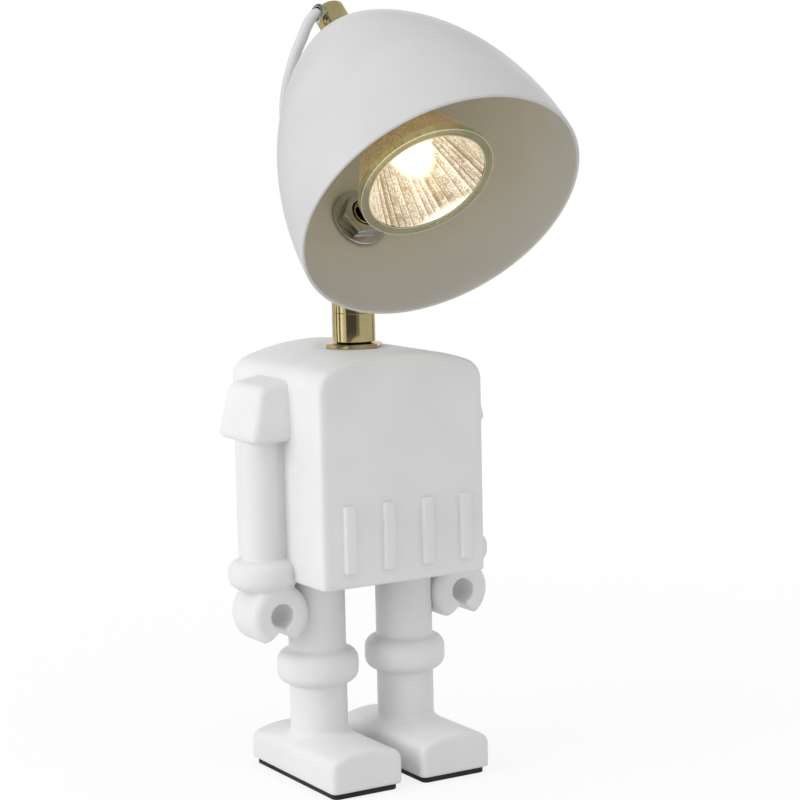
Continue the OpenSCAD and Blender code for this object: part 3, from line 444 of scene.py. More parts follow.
class Graph:
    """A node tree, with short ways to add and join its nodes."""

    def __init__(self, tree: bpy.types.NodeTree) -> None:
        """Wrap a tree."""
        self.tree = tree

    @classmethod
    def fresh(cls, holder: bpy.types.Material | bpy.types.World) -> "Graph":
        """Clear the nodes of a material or world.

        Args:
            holder: The material or world.

        Returns:
            Its empty tree.
        """
        holder.use_nodes = True
        holder.node_tree.nodes.clear()
        return cls(holder.node_tree)

    def add(self, kind: str, inputs: dict | None = None, **settings: object) -> bpy.types.Node:
        """Add a node.

        Args:
            kind: Type of the node, without its prefix.
            inputs: Values or sockets for its inputs, by name or number.
            settings: Properties of the node.

        Returns:
            The node.
        """
        made = self.tree.nodes.new("ShaderNode" + kind)
        for key, value in settings.items():
            setattr(made, key, value)
        for key, value in (inputs or {}).items():
            if isinstance(value, bpy.types.NodeSocket):
                self.tree.links.new(value, made.inputs[key])
            else:
                made.inputs[key].default_value = value
        return made

    def math(self, operation: str, *values: object) -> bpy.types.NodeSocket:
        """Join values by a Math node and give its result."""
        return self.add("Math", dict(enumerate(values)), operation=operation).outputs[0]

    def blend(self, share: object, first: object, second: object) -> bpy.types.NodeSocket:
        """Mix two colours.

        Args:
            share: Share of the second colour.
            first: The one colour, or its socket.
            second: The other colour, or its socket.

        Returns:
            The mixed colour.
        """
        first = first if isinstance(first, bpy.types.NodeSocket) else (*first, 1)
        second = second if isinstance(second, bpy.types.NodeSocket) else (*second, 1)
        return self.add("Mix", {0: share, 6: first, 7: second}, data_type="RGBA").outputs[2]

    def ramp(self, value: object, stops: Sequence[tuple[float, Colour]]) -> bpy.types.NodeSocket:
        """Turn a value into a colour.

        Args:
            value: The value.
            stops: Values and the colours that they have, in order.

        Returns:
            The colour.
        """
        made = self.add("ValToRGB", {0: value})
        marks = made.color_ramp.elements
        while len(marks) < len(stops):
            marks.new(1.0)
        for mark, (where, colour) in zip(marks, stops):
            mark.position = where
            mark.color = (*colour, 1.0)
        return made.outputs[0]

    def spread(self, value: object, low: float, high: float, start: float = 0,
               end: float = 1) -> bpy.types.NodeSocket:
        """Map a value from the range of start and end onto that of low and high."""
        return self.add("MapRange", {0: value, 1: start, 2: end, 3: low, 4: high}).outputs[0]


class Effects:
    """Surface effects that several finishes use, each a node group that is made once."""

    _made: dict[str, bpy.types.NodeTree] = {}

    @classmethod
    def _group(cls, name: str, inputs: dict[str, str],
               outputs: Sequence[str]) -> tuple[Graph, bpy.types.Node, bpy.types.Node]:
        """Start a group with its sockets.

        Args:
            name: Name of the group.
            inputs: Kind of each input, by its name.
            outputs: Names of the outputs, which are all values.

        Returns:
            The group's tree, the node that holds what it is given, and the node that takes its results.
        """
        tree = bpy.data.node_groups.new(name, "ShaderNodeTree")
        for key, kind in inputs.items():
            tree.interface.new_socket(name=key, in_out="INPUT", socket_type="NodeSocket" + kind)
        for key in outputs:
            tree.interface.new_socket(name=key, in_out="OUTPUT", socket_type="NodeSocketFloat")
        cls._made[name] = tree
        return Graph(tree), tree.nodes.new("NodeGroupInput"), tree.nodes.new("NodeGroupOutput")

    @classmethod
    def _marks(cls, name: str, stretch: Sequence[float], fine: tuple[float, float],
               broad: tuple[float, float]) -> bpy.types.NodeTree:
        """Make a group of fine marks for a bump, and a broad mottling for the colour.

        Args:
            name: Name of the group.
            stretch: Scale of the fine marks along X, Y and Z.
            fine: Detail and roughness of the fine marks.
            broad: Scale of the mottling against the marks', and its detail.

        Returns:
            The group.
        """
        if name in cls._made:
            return cls._made[name]
        graph, given, result = cls._group(name, {"Vector": "Vector", "Scale": "Float"}, ("Tone", "Height"))
        where, scale = given.outputs["Vector"], given.outputs["Scale"]
        along = graph.add("Mapping", {"Vector": where, "Scale": tuple(stretch)}).outputs[0]
        detail, rough = fine
        marks = graph.add("TexNoise", {"Vector": along, "Scale": scale, "Detail": detail, "Roughness": rough})
        wide = graph.math("MULTIPLY", scale, broad[0])
        patches = graph.add("TexNoise", {"Vector": where, "Scale": wide, "Detail": broad[1]})
        graph.tree.links.new(graph.spread(patches.outputs[0], 0, 1, 0.35, 0.65), result.inputs["Tone"])
        graph.tree.links.new(marks.outputs[0], result.inputs["Height"])
        return graph.tree

    @classmethod
    def grain(cls) -> bpy.types.NodeTree:
        """Give the fine grain of a painted, cast or moulded surface."""
        return cls._marks("grain", (1.0, 1.0, 1.0), (4.0, 0.6), (0.05, 3.0))

    @classmethod
    def turning(cls) -> bpy.types.NodeTree:
        """Give the fine rings about Z that a lathe or a polishing wheel leaves."""
        return cls._marks("turning", (0.02, 0.02, 1.0), (5.0, 0.7), (0.04, 2.0))

    @classmethod
    def handling(cls) -> bpy.types.NodeTree:
        """Make soft patches where hands have dulled a surface.

        Returns:
            The group.
        """
        if "handling" in cls._made:
            return cls._made["handling"]
        graph, given, result = cls._group("handling", {"Vector": "Vector", "Scale": "Float"}, ("Mask",))
        patches = graph.add("TexNoise", {"Vector": given.outputs["Vector"], "Scale": given.outputs["Scale"],
                                         "Detail": 6.0, "Roughness": 0.65, "Distortion": 0.6})
        graph.tree.links.new(graph.spread(patches.outputs[0], 0, 1, 0.4, 0.7), result.inputs["Mask"])
        return graph.tree

    @classmethod
    def bulb_axes(cls, place: Sequence[float], lean: float, far: float) -> bpy.types.NodeTree:
        """Turn and depth in the bulb's own frame, and how far round a point lies from the mirror's lit side.

        Args:
            place: Middle of the bulb's face, in metres.
            lean: Lean of the bulb's axis from Z, in degrees about X.
            far: Turn of the mirror's lit side, in degrees.

        Returns:
            The group. Its depth is in millimetres behind the face, and away goes from 0 to 2.
        """
        if "bulb_axes" in cls._made:
            return cls._made["bulb_axes"]
        graph, given, result = cls._group("bulb_axes", {"Vector": "Vector"}, ("Turn", "Depth", "Away"))
        own = graph.add("Mapping", {"Vector": given.outputs["Vector"], "Location": tuple(place),
                                    "Rotation": (math.radians(lean), 0, 0)}, vector_type="TEXTURE").outputs[0]
        part = graph.add("SeparateXYZ", {0: own})
        turn = graph.math("ARCTAN2", part.outputs[1], part.outputs[0])
        round_by = graph.math("COSINE", graph.math("SUBTRACT", turn, math.radians(far)))
        for key, value in (
            ("Turn", turn),
            ("Depth", graph.math("DIVIDE", part.outputs[2], MM)),
            ("Away", graph.math("SUBTRACT", 1.0, round_by)),
        ):
            graph.tree.links.new(value, result.inputs[key])
        return graph.tree


@dataclass(frozen=True)
class Finish:
    """A finish of the lamp: its slot name, two colours that mottle it, and its roughness and grain."""

    name: str
    slot: str
    base: Colour
    tone: Colour
    rough: tuple[float, float] = (0.45, 0.6)
    grain: float = 900.0
    bump: float = 0.00003
    patches: float = 60.0

    def material(self) -> bpy.types.Material:
        """Make the finish's material, once.

        Returns:
            The material.
        """
        if self.name in bpy.data.materials:
            return bpy.data.materials[self.name]
        made = bpy.data.materials.new(self.name)
        graph = Graph.fresh(made)
        shader = self.shade(graph)
        graph.add("OutputMaterial", {"Surface": shader.outputs[0]})
        made.diffuse_color = (*self.base, 1.0)
        return made

    def where(self, graph: Graph) -> bpy.types.NodeSocket:
        """Give the place on the surface that its patterns follow."""
        return graph.add("TexCoord").outputs["Object"]

    def surface(self, graph: Graph, effect: bpy.types.NodeTree) -> dict[str, object]:
        """Lay the grain and patches.

        Args:
            graph: The material's nodes.
            effect: Group that gives the tone and the bump's height.

        Returns:
            Colour, roughness and normal for a shader, by the names of its inputs.
        """
        where = self.where(graph)
        lines = graph.add("Group", {"Vector": where, "Scale": self.grain}, node_tree=effect)
        dull = graph.add("Group", {"Vector": where, "Scale": self.patches}, node_tree=Effects.handling())
        bump = graph.add("Bump", {"Height": lines.outputs["Height"], "Strength": 1.0, "Distance": self.bump})
        return {
            "Base Color": graph.blend(lines.outputs["Tone"], self.base, self.tone),
            "Roughness": graph.spread(dull.outputs["Mask"], *self.rough),
            "Normal": bump.outputs[0],
        }

    def shade(self, graph: Graph) -> bpy.types.Node:
        """Make the shader of a painted, cast or moulded surface."""
        surface = self.surface(graph, Effects.grain())
        return graph.add("BsdfPrincipled", {**surface, "Specular IOR Level": 0.4})


@dataclass(frozen=True)
class MetalFinish(Finish):
    """Turned or polished metal. The turn leans its rings from Z about X, in degrees."""

    lean: float = 0.0

    def where(self, graph: Graph) -> bpy.types.NodeSocket:
        """Give the place on the surface, with Z along the axis that the metal was turned on."""
        own = {"Vector": super().where(graph), "Rotation": (math.radians(self.lean), 0, 0)}
        return graph.add("Mapping", own, vector_type="TEXTURE").outputs[0]

    def shade(self, graph: Graph) -> bpy.types.Node:
        """Make the shader of a metal surface."""
        return graph.add("BsdfPrincipled", {**self.surface(graph, Effects.turning()), "Metallic": 1.0})


@dataclass(frozen=True)
class GlassFinish(Finish):
    """Clear or tinted glass, with a faint glow where light leaks through it."""

    clear: float = 1.0
    index: float = 1.45
    glow: Colour = (0.0, 0.0, 0.0)

    def shade(self, graph: Graph) -> bpy.types.Node:
        """Make the shader of a glass surface.

        Args:
            graph: The material's nodes.

        Returns:
            The shader.
        """
        return graph.add("BsdfPrincipled", {
            **self.surface(graph, Effects.grain()), "Transmission Weight": self.clear, "IOR": self.index,
            "Emission Color": (*self.glow, 1.0), "Emission Strength": 1.0 if any(self.glow) else 0.0,
        })


@dataclass(frozen=True)
class BulbFinish(Finish):
    """A surface of the lit bulb. Its place, lean and far side are those of the bulb's own frame."""

    place: tuple[float, float, float] = (0.0, 0.0, 0.0)
    lean: float = 0.0
    far: float = 47.0

    def axes(self, graph: Graph) -> bpy.types.NodeOutputs:
        """Give the turn, depth and way round of the surface in the bulb's frame, by name."""
        group = Effects.bulb_axes(self.place, self.lean, self.far)
        return graph.add("Group", {"Vector": self.where(graph)}, node_tree=group).outputs


@dataclass(frozen=True)
class MirrorFinish(BulbFinish):
    """The lit mirror: stippled flutes in rows, white round the capsule and along the far front edge.

    Its tone, base and deep are the dark, middle and bright parts of a flute, and white is its brightest
    light. A flute's profile has stops of place and brightness, its turn drifts by a part of a radian, and
    the weights are those of the flute, of its own shade and of a facet's. Throw is the share of the
    mirror's light that falls on what lies round it.
    """

    deep: Colour = (1.0, 1.0, 1.0)
    white: Colour = (1.5, 1.4, 1.15)
    facets: int = 40
    row: float = 3.2
    profile: tuple[tuple[float, float], ...] = (
        (0, 0.3), (0.1, 1.0), (0.26, 0.62), (0.5, 0.5), (0.72, 0.6), (0.88, 0.0),
    )
    drift: float = 0.07
    weights: tuple[float, float, float] = (0.75, 0.24, 0.26)
    stipple: tuple[float, float] = (-0.34, 0.12)
    hot: tuple[float, float, float] = (14.2, 17.6, 36.0)  # depths where it starts and is full, bend
    gleam: tuple[float, float, float] = (2.2, 4.8, 24.0)  # depths where it is full and ends, bend
    gleam_full: float = 0.85
    throw: float = 0.2

    def flutes(self, graph: Graph, axes: bpy.types.NodeOutputs) -> bpy.types.NodeSocket:
        """Lay the flutes and their facets round the mirror.

        Args:
            graph: The material's nodes.
            axes: Turn, depth and way round in the bulb's frame.

        Returns:
            Their brightness.
        """
        drift = graph.add("TexNoise", {"W": axes["Turn"], "Scale": 6.0, "Detail": 1.0}, noise_dimensions="1D")
        turn = graph.math("ADD", axes["Turn"],
                          graph.spread(drift.outputs[0], -self.drift, self.drift, 0.2, 0.8))
        column = graph.math("MULTIPLY", turn, self.facets / math.tau)
        tall = graph.math("FLOOR", column)
        level = graph.math("FLOOR", graph.math("DIVIDE", axes["Depth"], self.row))
        cell = graph.add("CombineXYZ", {0: tall, 1: level}).outputs[0]
        stripe = graph.add("TexWhiteNoise", {"W": tall}, noise_dimensions="1D").outputs["Value"]
        facet = graph.add("TexWhiteNoise", {"Vector": cell}, noise_dimensions="3D").outputs["Value"]
        flute = graph.ramp(graph.math("FRACT", column), [(at, (tone,) * 3) for at, tone in self.profile])
        fine = graph.add("TexVoronoi", {"Vector": self.where(graph), "Scale": self.grain}).outputs["Color"]
        mixed = graph.spread(fine, *self.stipple, 0.2, 0.8)
        for value, weight in zip((flute, stripe, facet), self.weights):
            mixed = graph.math("ADD", mixed, graph.math("MULTIPLY", value, weight))
        return mixed

    def shade(self, graph: Graph) -> bpy.types.Node:
        """Make the shader of the lit mirror.

        Args:
            graph: The material's nodes.

        Returns:
            The shader.
        """
        axes = self.axes(graph)
        stops = ((0.05, self.tone), (0.5, self.base), (0.95, self.deep))
        colour = graph.ramp(self.flutes(graph, axes), stops)
        start, end, bend = self.hot
        hot = graph.math("SUBTRACT", axes["Depth"], graph.math("MULTIPLY", axes["Away"], bend))
        hot = graph.spread(hot, 0, 1, start, end)
        start, end, bend = self.gleam
        gleam = graph.math("ADD", axes["Depth"], graph.math("MULTIPLY", axes["Away"], bend))
        gleam = graph.spread(gleam, self.gleam_full, 0, start, end)
        lit = graph.blend(graph.math("MAXIMUM", hot, gleam), colour, self.white)
        thrown = graph.add("VectorMath", {0: lit, "Scale": self.throw}, operation="SCALE").outputs[0]
        glow = graph.blend(graph.add("LightPath").outputs["Is Diffuse Ray"], lit, thrown)
        return graph.add("BsdfPrincipled", {"Base Color": (*self.tone, 1), "Metallic": 1.0, "Roughness": 0.35,
                                            "Emission Color": glow, "Emission Strength": 1.0})


@dataclass(frozen=True)
class BulbGlassFinish(BulbFinish):
    """Glass of the bulb: clear in part, with light that leaks through its cells on the side near the capsule.

    What it spills is the light that it throws on what lies round it.
    """

    clear: float = 0.5
    leak: Colour = (0.8, 0.5, 0.15)
    dim: Colour = (0.03, 0.025, 0.01)
    near: tuple[float, float] = (1.1, 1.9)
    front: tuple[float, float] = (3.0, 16.0)
    cells: float = 900.0
    sparks: tuple[float, float] = (0.8, 1.1)
    spill: Colour = (0.0, 0.0, 0.0)

    def shade(self, graph: Graph) -> bpy.types.Node:
        """Make the shader of the bulb's glass.

        Args:
            graph: The material's nodes.

        Returns:
            The shader.
        """
        axes = self.axes(graph)
        cell = graph.add("TexVoronoi", {"Vector": self.where(graph), "Scale": self.cells})
        spark = graph.spread(cell.outputs["Color"], *self.sparks, 0.58, 0.92)
        side = graph.math("MULTIPLY", graph.spread(axes["Away"], 0, 1, *self.near), spark)
        side = graph.math("MULTIPLY", side, graph.spread(axes["Depth"], 1.0, 0.25, *self.front))
        glow = graph.blend(side, self.dim, self.leak)
        glow = graph.blend(graph.add("LightPath").outputs["Is Diffuse Ray"], glow, self.spill)
        return graph.add("BsdfPrincipled", {
            **self.surface(graph, Effects.grain()), "Transmission Weight": self.clear, "IOR": 1.45,
            "Emission Color": glow, "Emission Strength": 1.0,
        })


SHADE_LEAN = -47.5

CASTING = Finish(
    "casting_white", "casting", (0.80, 0.80, 0.80), (0.76, 0.76, 0.76), (0.5, 0.62), 700, 0.00002)
SHADE_PAINT = Finish(
    "shade_satin_white", "shade_white", (0.62, 0.62, 0.62), (0.60, 0.60, 0.60), (0.32, 0.42), 1100, 0.000008)
# The inside of the dome: a darker, warmer copy of the white paint, partly a warmer inner paint and partly
# painted shade inside the dome with painted warm light from the bulb.
WARM_LINING_AND_PAINTED_SHADE = Finish(
    "shade_lining_warm_and_painted_shade", "shade_white", (0.615, 0.60, 0.55), (0.595, 0.58, 0.53), (0.5, 0.6), 1100, 0.000008)
RUBBER = Finish(
    "black_rubber", "pad_rubber", (0.012, 0.012, 0.013), (0.02, 0.02, 0.021), (0.65, 0.85), 1600, 0.00006)
HATCH = Finish(
    "black_moulding", "hatch_black", (0.02, 0.02, 0.022), (0.032, 0.032, 0.034), (0.5, 0.65), 1400, 0.00004)
SHEATH = Finish(
    "pale_sheath", "cord_sheath", (0.66, 0.66, 0.655), (0.61, 0.61, 0.605), (0.25, 0.35), 700, 0.00001)
MOULDED = Finish(
    "pale_moulding", "terminal_plastic", (0.6, 0.57, 0.5), (0.55, 0.52, 0.46), (0.4, 0.5), 900)
PORCELAIN = Finish(
    "fired_ceramic", "holder_ceramic", (0.66, 0.64, 0.58), (0.6, 0.58, 0.52), (0.45, 0.6), 1500, 0.00003)
BRASS = MetalFinish(
    "brass_turned", "polished_brass", (0.80, 0.68, 0.36), (0.74, 0.61, 0.30), (0.1, 0.18), 5000, 0.000002)
BRASS_SHADE = MetalFinish(
    "brass_on_shade", "polished_brass", (0.80, 0.68, 0.36), (0.74, 0.61, 0.30), (0.12, 0.2), 5000, 0.000002,
    lean=SHADE_LEAN)
BRASS_NUT = MetalFinish(
    "brass_nut", "polished_brass", (0.60, 0.46, 0.25), (0.48, 0.36, 0.19), (0.18, 0.3), 4000, 0.000004)
# Near-black brass: painted shade, for the gap under the neck's collar and the hollow of the shade's stub.
BRASS_PAINTED_SHADE = MetalFinish(
    "brass_painted_shade", "polished_brass", (0.04, 0.027, 0.011), (0.02, 0.014, 0.006), (0.5, 0.7), 4000, 0.000004)
NICKEL = MetalFinish(
    "nickel_plate", "plated_steel", (0.66, 0.67, 0.63), (0.58, 0.59, 0.55), (0.14, 0.24), 5000, 0.000002,
    lean=SHADE_LEAN)
BULB_FRONT = GlassFinish(
    "bulb_front_glass", "lens_glass", (1.0, 0.98, 0.94), (0.97, 0.95, 0.9), (0.01, 0.03), 900, 0.000002,
    clear=1.0, index=1.2)


@dataclass
class Camera:
    """The camera that took the photograph, as fitted to the lamp's sizes."""

    place: tuple[float, float, float] = (-411.1, -722.6, 241.6)
    yaw: float = -30.75
    pitch: float = 7.24
    roll: float = 1.23
    lens: float = 103.65

    def build(self) -> None:
        """Set up the camera."""
        yaw, pitch, roll = (math.radians(v) for v in (self.yaw, self.pitch, self.roll))
        back = Vector((math.sin(yaw) * math.cos(pitch), -math.cos(yaw) * math.cos(pitch), math.sin(pitch)))
        right = Vector((math.cos(yaw), math.sin(yaw), 0))
        up = back.cross(right)
        across = math.cos(roll) * right - math.sin(roll) * up
        above = math.sin(roll) * right + math.cos(roll) * up
        data = bpy.data.cameras.new("photo_camera")
        data.lens = self.lens
        data.sensor_width = 36.0
        data.clip_start = 0.01
        camera = show("photo_camera", data)
        turn = Matrix((across, above, back)).transposed().to_4x4()
        camera.matrix_world = Matrix.Translation(Vector(self.place) * MM) @ turn
        bpy.context.scene.camera = camera
        LOG.info("camera at %s", self.place)


@dataclass
class JumperCord:
    """The pale cord from the cap's gland down behind the shade to the fork's bush."""

    diameter: float = 4.0
    sides: int = 20
    route: tuple[tuple[float, float, float], ...] = (
        (-6.6, 9, 275.6), (-8.4, 8.7, 274.8), (-9.9, 8.5, 273.5), (-11.1, 8.5, 271.8), (-12, 8.8, 269.8),
        (-12.8, 9.7, 267), (-13.8, 11.8, 263), (-14.4, 13.6, 259.4), (-14.8, 15.4, 255.8), (-15, 17.2, 252.2),
        (-15, 18.8, 248.6), (-14.8, 20.4, 244.8), (-14.2, 22, 240), (-13, 23.4, 234), (-11.4, 24.4, 228),
        (-9.4, 25, 222), (-7.2, 25.2, 216), (-5, 25, 210), (-3, 24.4, 204), (-1.4, 23.2, 198),
        (-0.4, 21.4, 192.6), (0, 19, 187.8), (0, 16.4, 183), (0, 13.4, 179.2), (0, 11.4, 177.2),
        (0, 9.6, 176.6),
    )

    def eased(self, between: int = 4) -> list[Vector]:
        """Put more points on a smooth curve through the route's own.

        Args:
            between: Number of stretches between two points of the route.

        Returns:
            The curve's points, in metres.
        """
        points = [Vector(p) * MM for p in self.route]
        ends = [2 * points[0] - points[1]] + points + [2 * points[-1] - points[-2]]
        path = []
        for a, b, c, d in zip(ends, ends[1:], ends[2:], ends[3:]):
            for i in range(between):
                t = i / between
                path.append(0.5 * (2 * b + (c - a) * t + (2 * a - 5 * b + 4 * c - d) * t * t
                                   + (3 * b - a - 3 * c + d) * t ** 3))
        return path + [points[-1]]

    def build(self) -> None:
        """Sweep the cord along its route."""
        path = self.eased()
        curve = bpy.data.curves.new("jumper_cord_line", "CURVE")
        curve.dimensions = "3D"
        curve.bevel_depth = self.diameter / 2 * MM
        curve.bevel_resolution = self.sides // 4
        curve.use_fill_caps = True
        line = curve.splines.new("POLY")
        line.points.add(len(path) - 1)
        for point, place in zip(line.points, path):
            point.co = (*place, 1)
        draft = show("jumper_cord_line", curve)
        graph = bpy.context.evaluated_depsgraph_get()
        mesh = bpy.data.meshes.new_from_object(draft.evaluated_get(graph))
        bpy.data.objects.remove(draft)
        blank = Blank()
        blank.bm.from_mesh(mesh)
        bpy.data.meshes.remove(mesh)
        bmesh.ops.scale(blank.bm, vec=(1 / MM,) * 3, verts=blank.bm.verts[:])
        cord = blank.tidy().piece("jumper_cord_sheath", None, SHEATH, ("jumper_cord",))
        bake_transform(cord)


@dataclass
class Torso:
    """The hollow casting that is the figure's body, with ribs across its front."""

    width: float = TORSO_WIDTH
    depth: float = 67.0
    height: float = 82.2
    hip: float = HIP
    arch_r: float = 85.0
    corner_r: float = 8.0
    edge_r: float = 2.2
    ribs: int = 4
    rib_pitch: float = 15.9
    rib_shift: float = 1.0
    rib: tuple[float, float] = (4.8, 24.2)  # width, height
    rib_proud: float = 1.8
    rib_lift: float = 5.4
    rib_round: float = 0.9
    rib_sunk: float = 4.0
    hatch: tuple[float, float, float] = (14.6, 50.6, 1.5)  # width, length, depth of its recess
    hatch_corner: float = 3.0
    seat: tuple[float, float, float] = (11.5, 35.0, 155.7)  # flat's radius, slope's radius, height
    cord_hole: tuple[float, float, float] = (4.8, 16.0, 40.0)  # radius, height over the hip, depth
    melt: tuple[float, int] = (0.75, 4)  # cell size, smoothing passes
    crease: float = 40.0

    def build(self) -> None:
        """Cast the torso, with a seat for the lock nut in its roof and the mains cord's hole in its back."""
        blank = Blank().arched_block(self.width, self.height, -self.depth / 2, self.depth / 2, self.arch_r,
                                     self.corner_r, self.edge_r, Matrix.Translation((0, 0, self.hip)))
        width, length, deep = self.hatch
        blank.carve(Blank().plate(width, length, self.hatch_corner, self.hip - PAST, self.hip + deep))
        seat_r, slope_r, seat_z = self.seat
        top = self.hip + self.height + PAST
        blank.carve(Blank().lathe([(0, seat_z), (seat_r, seat_z), (slope_r, top), (0, top)]))
        radius, lift, deep = self.cord_hole
        behind = Matrix.Translation((0, self.depth / 2 + PAST, self.hip + lift))
        behind @= Matrix.Rotation(math.pi / 2, 4, "X")
        blank.carve(Blank().lathe([(0, 0), (radius, 0), (radius, deep), (0, deep)], 48, behind))
        blank.cast(*self.melt)
        front = -self.depth / 2
        low = self.hip + self.rib_lift
        for i in range(self.ribs):
            x = self.rib_shift + (i - (self.ribs - 1) / 2) * self.rib_pitch
            blank.bar((x - self.rib[0] / 2, front - self.rib_proud, low),
                      (x + self.rib[0] / 2, front + self.rib_sunk, low + self.rib[1]), self.rib_round)
        blank.piece("torso_casting", Body.FIGURE, CASTING, ("torso",), None, self.crease)


@dataclass
class Leg:
    """A leg with its knee ring and foot, and the rubber pad under it."""

    side: Side
    spread: float = 18.45
    radius: float = 10.5
    hip: float = HIP
    knee: tuple[float, float, float, float] = (14.9, 34.6, 47.2, 4.5)  # radius, low, high, rounding
    foot: tuple[float, float, float] = (29.0, 62.6, 14.8)  # width, length, height
    heel: float = 27.3
    heel_drop: float = 2.4
    arch_r: float = 32.0
    corner_r: float = 4.0
    edge_r: float = 2.2
    flare: float = 3.5
    skirt: tuple[float, float] = (0.8, 0.7)  # reach and drop, as shares of the flare
    sunk: float = 0.8
    pad: float = 2.2
    pad_soft: float = 0.35
    inset: float = 1.5
    melt: tuple[float, int] = (0.5, 5)  # cell size, smoothing passes

    def build(self) -> None:
        """Cast the leg and lay its pad."""
        place = Matrix.Translation((self.side.value * self.spread, 0, 0))
        width, length, height = self.foot
        top = self.pad + height
        out, drop = (share * self.flare for share in self.skirt)
        blank = Blank().arched_block(width, height, self.heel - length, self.heel, self.arch_r, self.corner_r,
                                     self.edge_r, Matrix.Translation((0, 0, self.pad)),
                                     (self.radius, self.heel_drop))
        blank.lathe([(0, top / 2), (self.radius + out, top / 2)]
                    + arc((self.radius + self.flare, top - drop + self.flare), self.flare, 250, 180, 8)
                    + [(self.radius, self.hip + self.sunk), (0, self.hip + self.sunk)])
        ring_r, low, high, rounding = self.knee
        blank.lathe(round_rim(ring_r, low, high, rounding)).cast(*self.melt)
        name = self.side.name.lower()
        blank.piece(f"{name}_leg_casting", Body.FIGURE, CASTING, (f"{name}_leg",), place, SOFT)
        pad = Blank().plate(width - 2 * self.inset, length - 2 * self.inset, self.edge_r, 0, self.pad,
                            self.pad_soft)
        pad.piece(f"{name}_pad_rubber", Body.FIGURE, RUBBER, (f"{name}_foot_pad",),
                  place @ Matrix.Translation((0, self.heel - length / 2, 0)))


@dataclass
class Arm:
    """An arm: shoulder, upper arm, cuff and open claw hand."""

    side: Side
    x: float = -40.1
    y: float = -1.0
    torso_side: float = TORSO_WIDTH / 2
    radius: float = 7.3
    web: float = 5.5
    web_round: float = 0.5
    shoulder: tuple[float, float] = (125.4, 148.3)  # low, high
    fall: float = 3.2
    reach: tuple[float, float] = (15.4, 11.2)  # out from the torso, at the bottom and the top
    deep: tuple[float, float] = (28.7, 25.7)  # front to back, at the bottom and the top
    back: float = 2.7
    inside: float = 6.0
    rounding: float = 3.0
    cuff: tuple[float, float, float, float] = (12.7, 72.0, 82.8, 4.5)  # radius, low, high, rounding
    sunk: tuple[float, float, float, float] = (6.0, 4.0, 3.0, 1.0)  # arm in cuff, shoulder; web in cuff, torso
    claw: tuple[float, float, float, float] = (-37.9, 62.9, 11.4, 20.0)  # x, z, radius, depth
    claw_round: float = 3.2
    bore: float = 4.5
    gap: float = 3.0
    lip: float = 1.2
    flare: float = 50.0
    melt: tuple[float, int] = (0.45, 4)  # cell size, smoothing passes

    def _at_claw(self) -> Matrix:
        """Give the place of the claw's frame, with Z along its bore."""
        x, z, _, _ = self.claw
        return Matrix.Translation((x, self.y, z)) @ Matrix.Rotation(math.pi / 2, 4, "X")

    def _claw(self) -> Blank:
        """Turn the claw's ring, and cut its bore and slot.

        Returns:
            The claw, in its place.
        """
        _, _, radius, deep = self.claw
        ring = Blank().lathe(round_rim(radius, -deep / 2, deep / 2, self.claw_round, self.bore))
        slot = Blank()
        end = -radius - PAST
        tip = -self.bore - self.lip
        wide = self.gap / 2 + (tip - end) * math.tan(math.radians(self.flare))
        corners = [(-self.gap / 2, 0), (-self.gap / 2, tip), (-wide, end), (wide, end), (self.gap / 2, tip),
                   (self.gap / 2, 0)]
        face = slot.bm.faces.new([slot.bm.verts.new((cx, cy, -deep)) for cx, cy in corners])
        pulled = bmesh.ops.extrude_face_region(slot.bm, geom=[face])
        moved = [v for v in pulled["geom"] if isinstance(v, bmesh.types.BMVert)]
        bmesh.ops.translate(slot.bm, verts=moved, vec=(0, 0, 2 * deep))
        ring.carve(slot.tidy())
        return ring.move(self._at_claw())

    def _bore(self) -> Blank:
        """Make the round cutter that clears the claw's bore through the cuff.

        Returns:
            The cutter, in its place.
        """
        deep = self.claw[3]
        outline = [(0, -deep), (self.bore, -deep), (self.bore, deep), (0, deep)]
        return Blank().lathe(outline, 96, self._at_claw())

    def _shoulder(self) -> Blank:
        """Shape the shoulder, which tapers upwards and falls to its outside.

        Returns:
            The shoulder, in its place.
        """
        low, high = self.shoulder
        outer = (self.reach[0] + self.inside, self.reach[1] + self.inside)
        upper = Blank().bar((-outer[0], -self.deep[0] / 2, low), (0, self.deep[0] / 2, high), 0.0,
                            (outer[1] / outer[0], self.deep[1] / self.deep[0]))
        shift = (outer[0] - outer[1]) / 2
        tops = [v for v in upper.bm.verts if v.co.z > (low + high) / 2]
        bmesh.ops.translate(upper.bm, verts=tops, vec=(shift, 0, 0))
        rims = [v for v in tops if v.co.x < -self.inside]
        bmesh.ops.translate(upper.bm, verts=rims, vec=(0, 0, -self.fall))
        upper.soften(upper.bm.edges[:], self.rounding, 6)
        return upper.move(Matrix.Translation((-self.torso_side + self.inside, self.y + self.back, 0)))

    def build(self) -> None:
        """Cast the arm from its shoulder, cuff, claw, upper arm and the web beside it."""
        upper = self._shoulder()
        axis = Matrix.Translation((self.x, self.y, 0))
        radius, cuff_low, cuff_high, rounding = self.cuff
        lower = Blank().lathe(round_rim(radius, cuff_low, cuff_high, rounding), 96, axis)
        lower.carve(self._bore())
        for part in (lower, self._claw()):
            mesh = bpy.data.meshes.new("part")
            part.bm.to_mesh(mesh)
            upper.bm.from_mesh(mesh)
            bpy.data.meshes.remove(mesh)
        in_cuff, in_shoulder, web_in_cuff, web_in_torso = self.sunk
        low, high = cuff_low + in_cuff, self.shoulder[0] + in_shoulder
        upper.lathe([(0, low), (self.radius, low), (self.radius, high), (0, high)], 96, axis)
        upper.bar((self.x, self.y - self.web, cuff_high - web_in_cuff),
                  (-self.torso_side + web_in_torso, self.y + self.web, high), self.web_round)
        upper.cast(*self.melt)
        if self.side is Side.LEFT:
            upper.flip()
        name = self.side.name.lower()
        upper.piece(f"{name}_arm_casting", Body.FIGURE, CASTING, (f"{name}_arm",), None, SOFT)


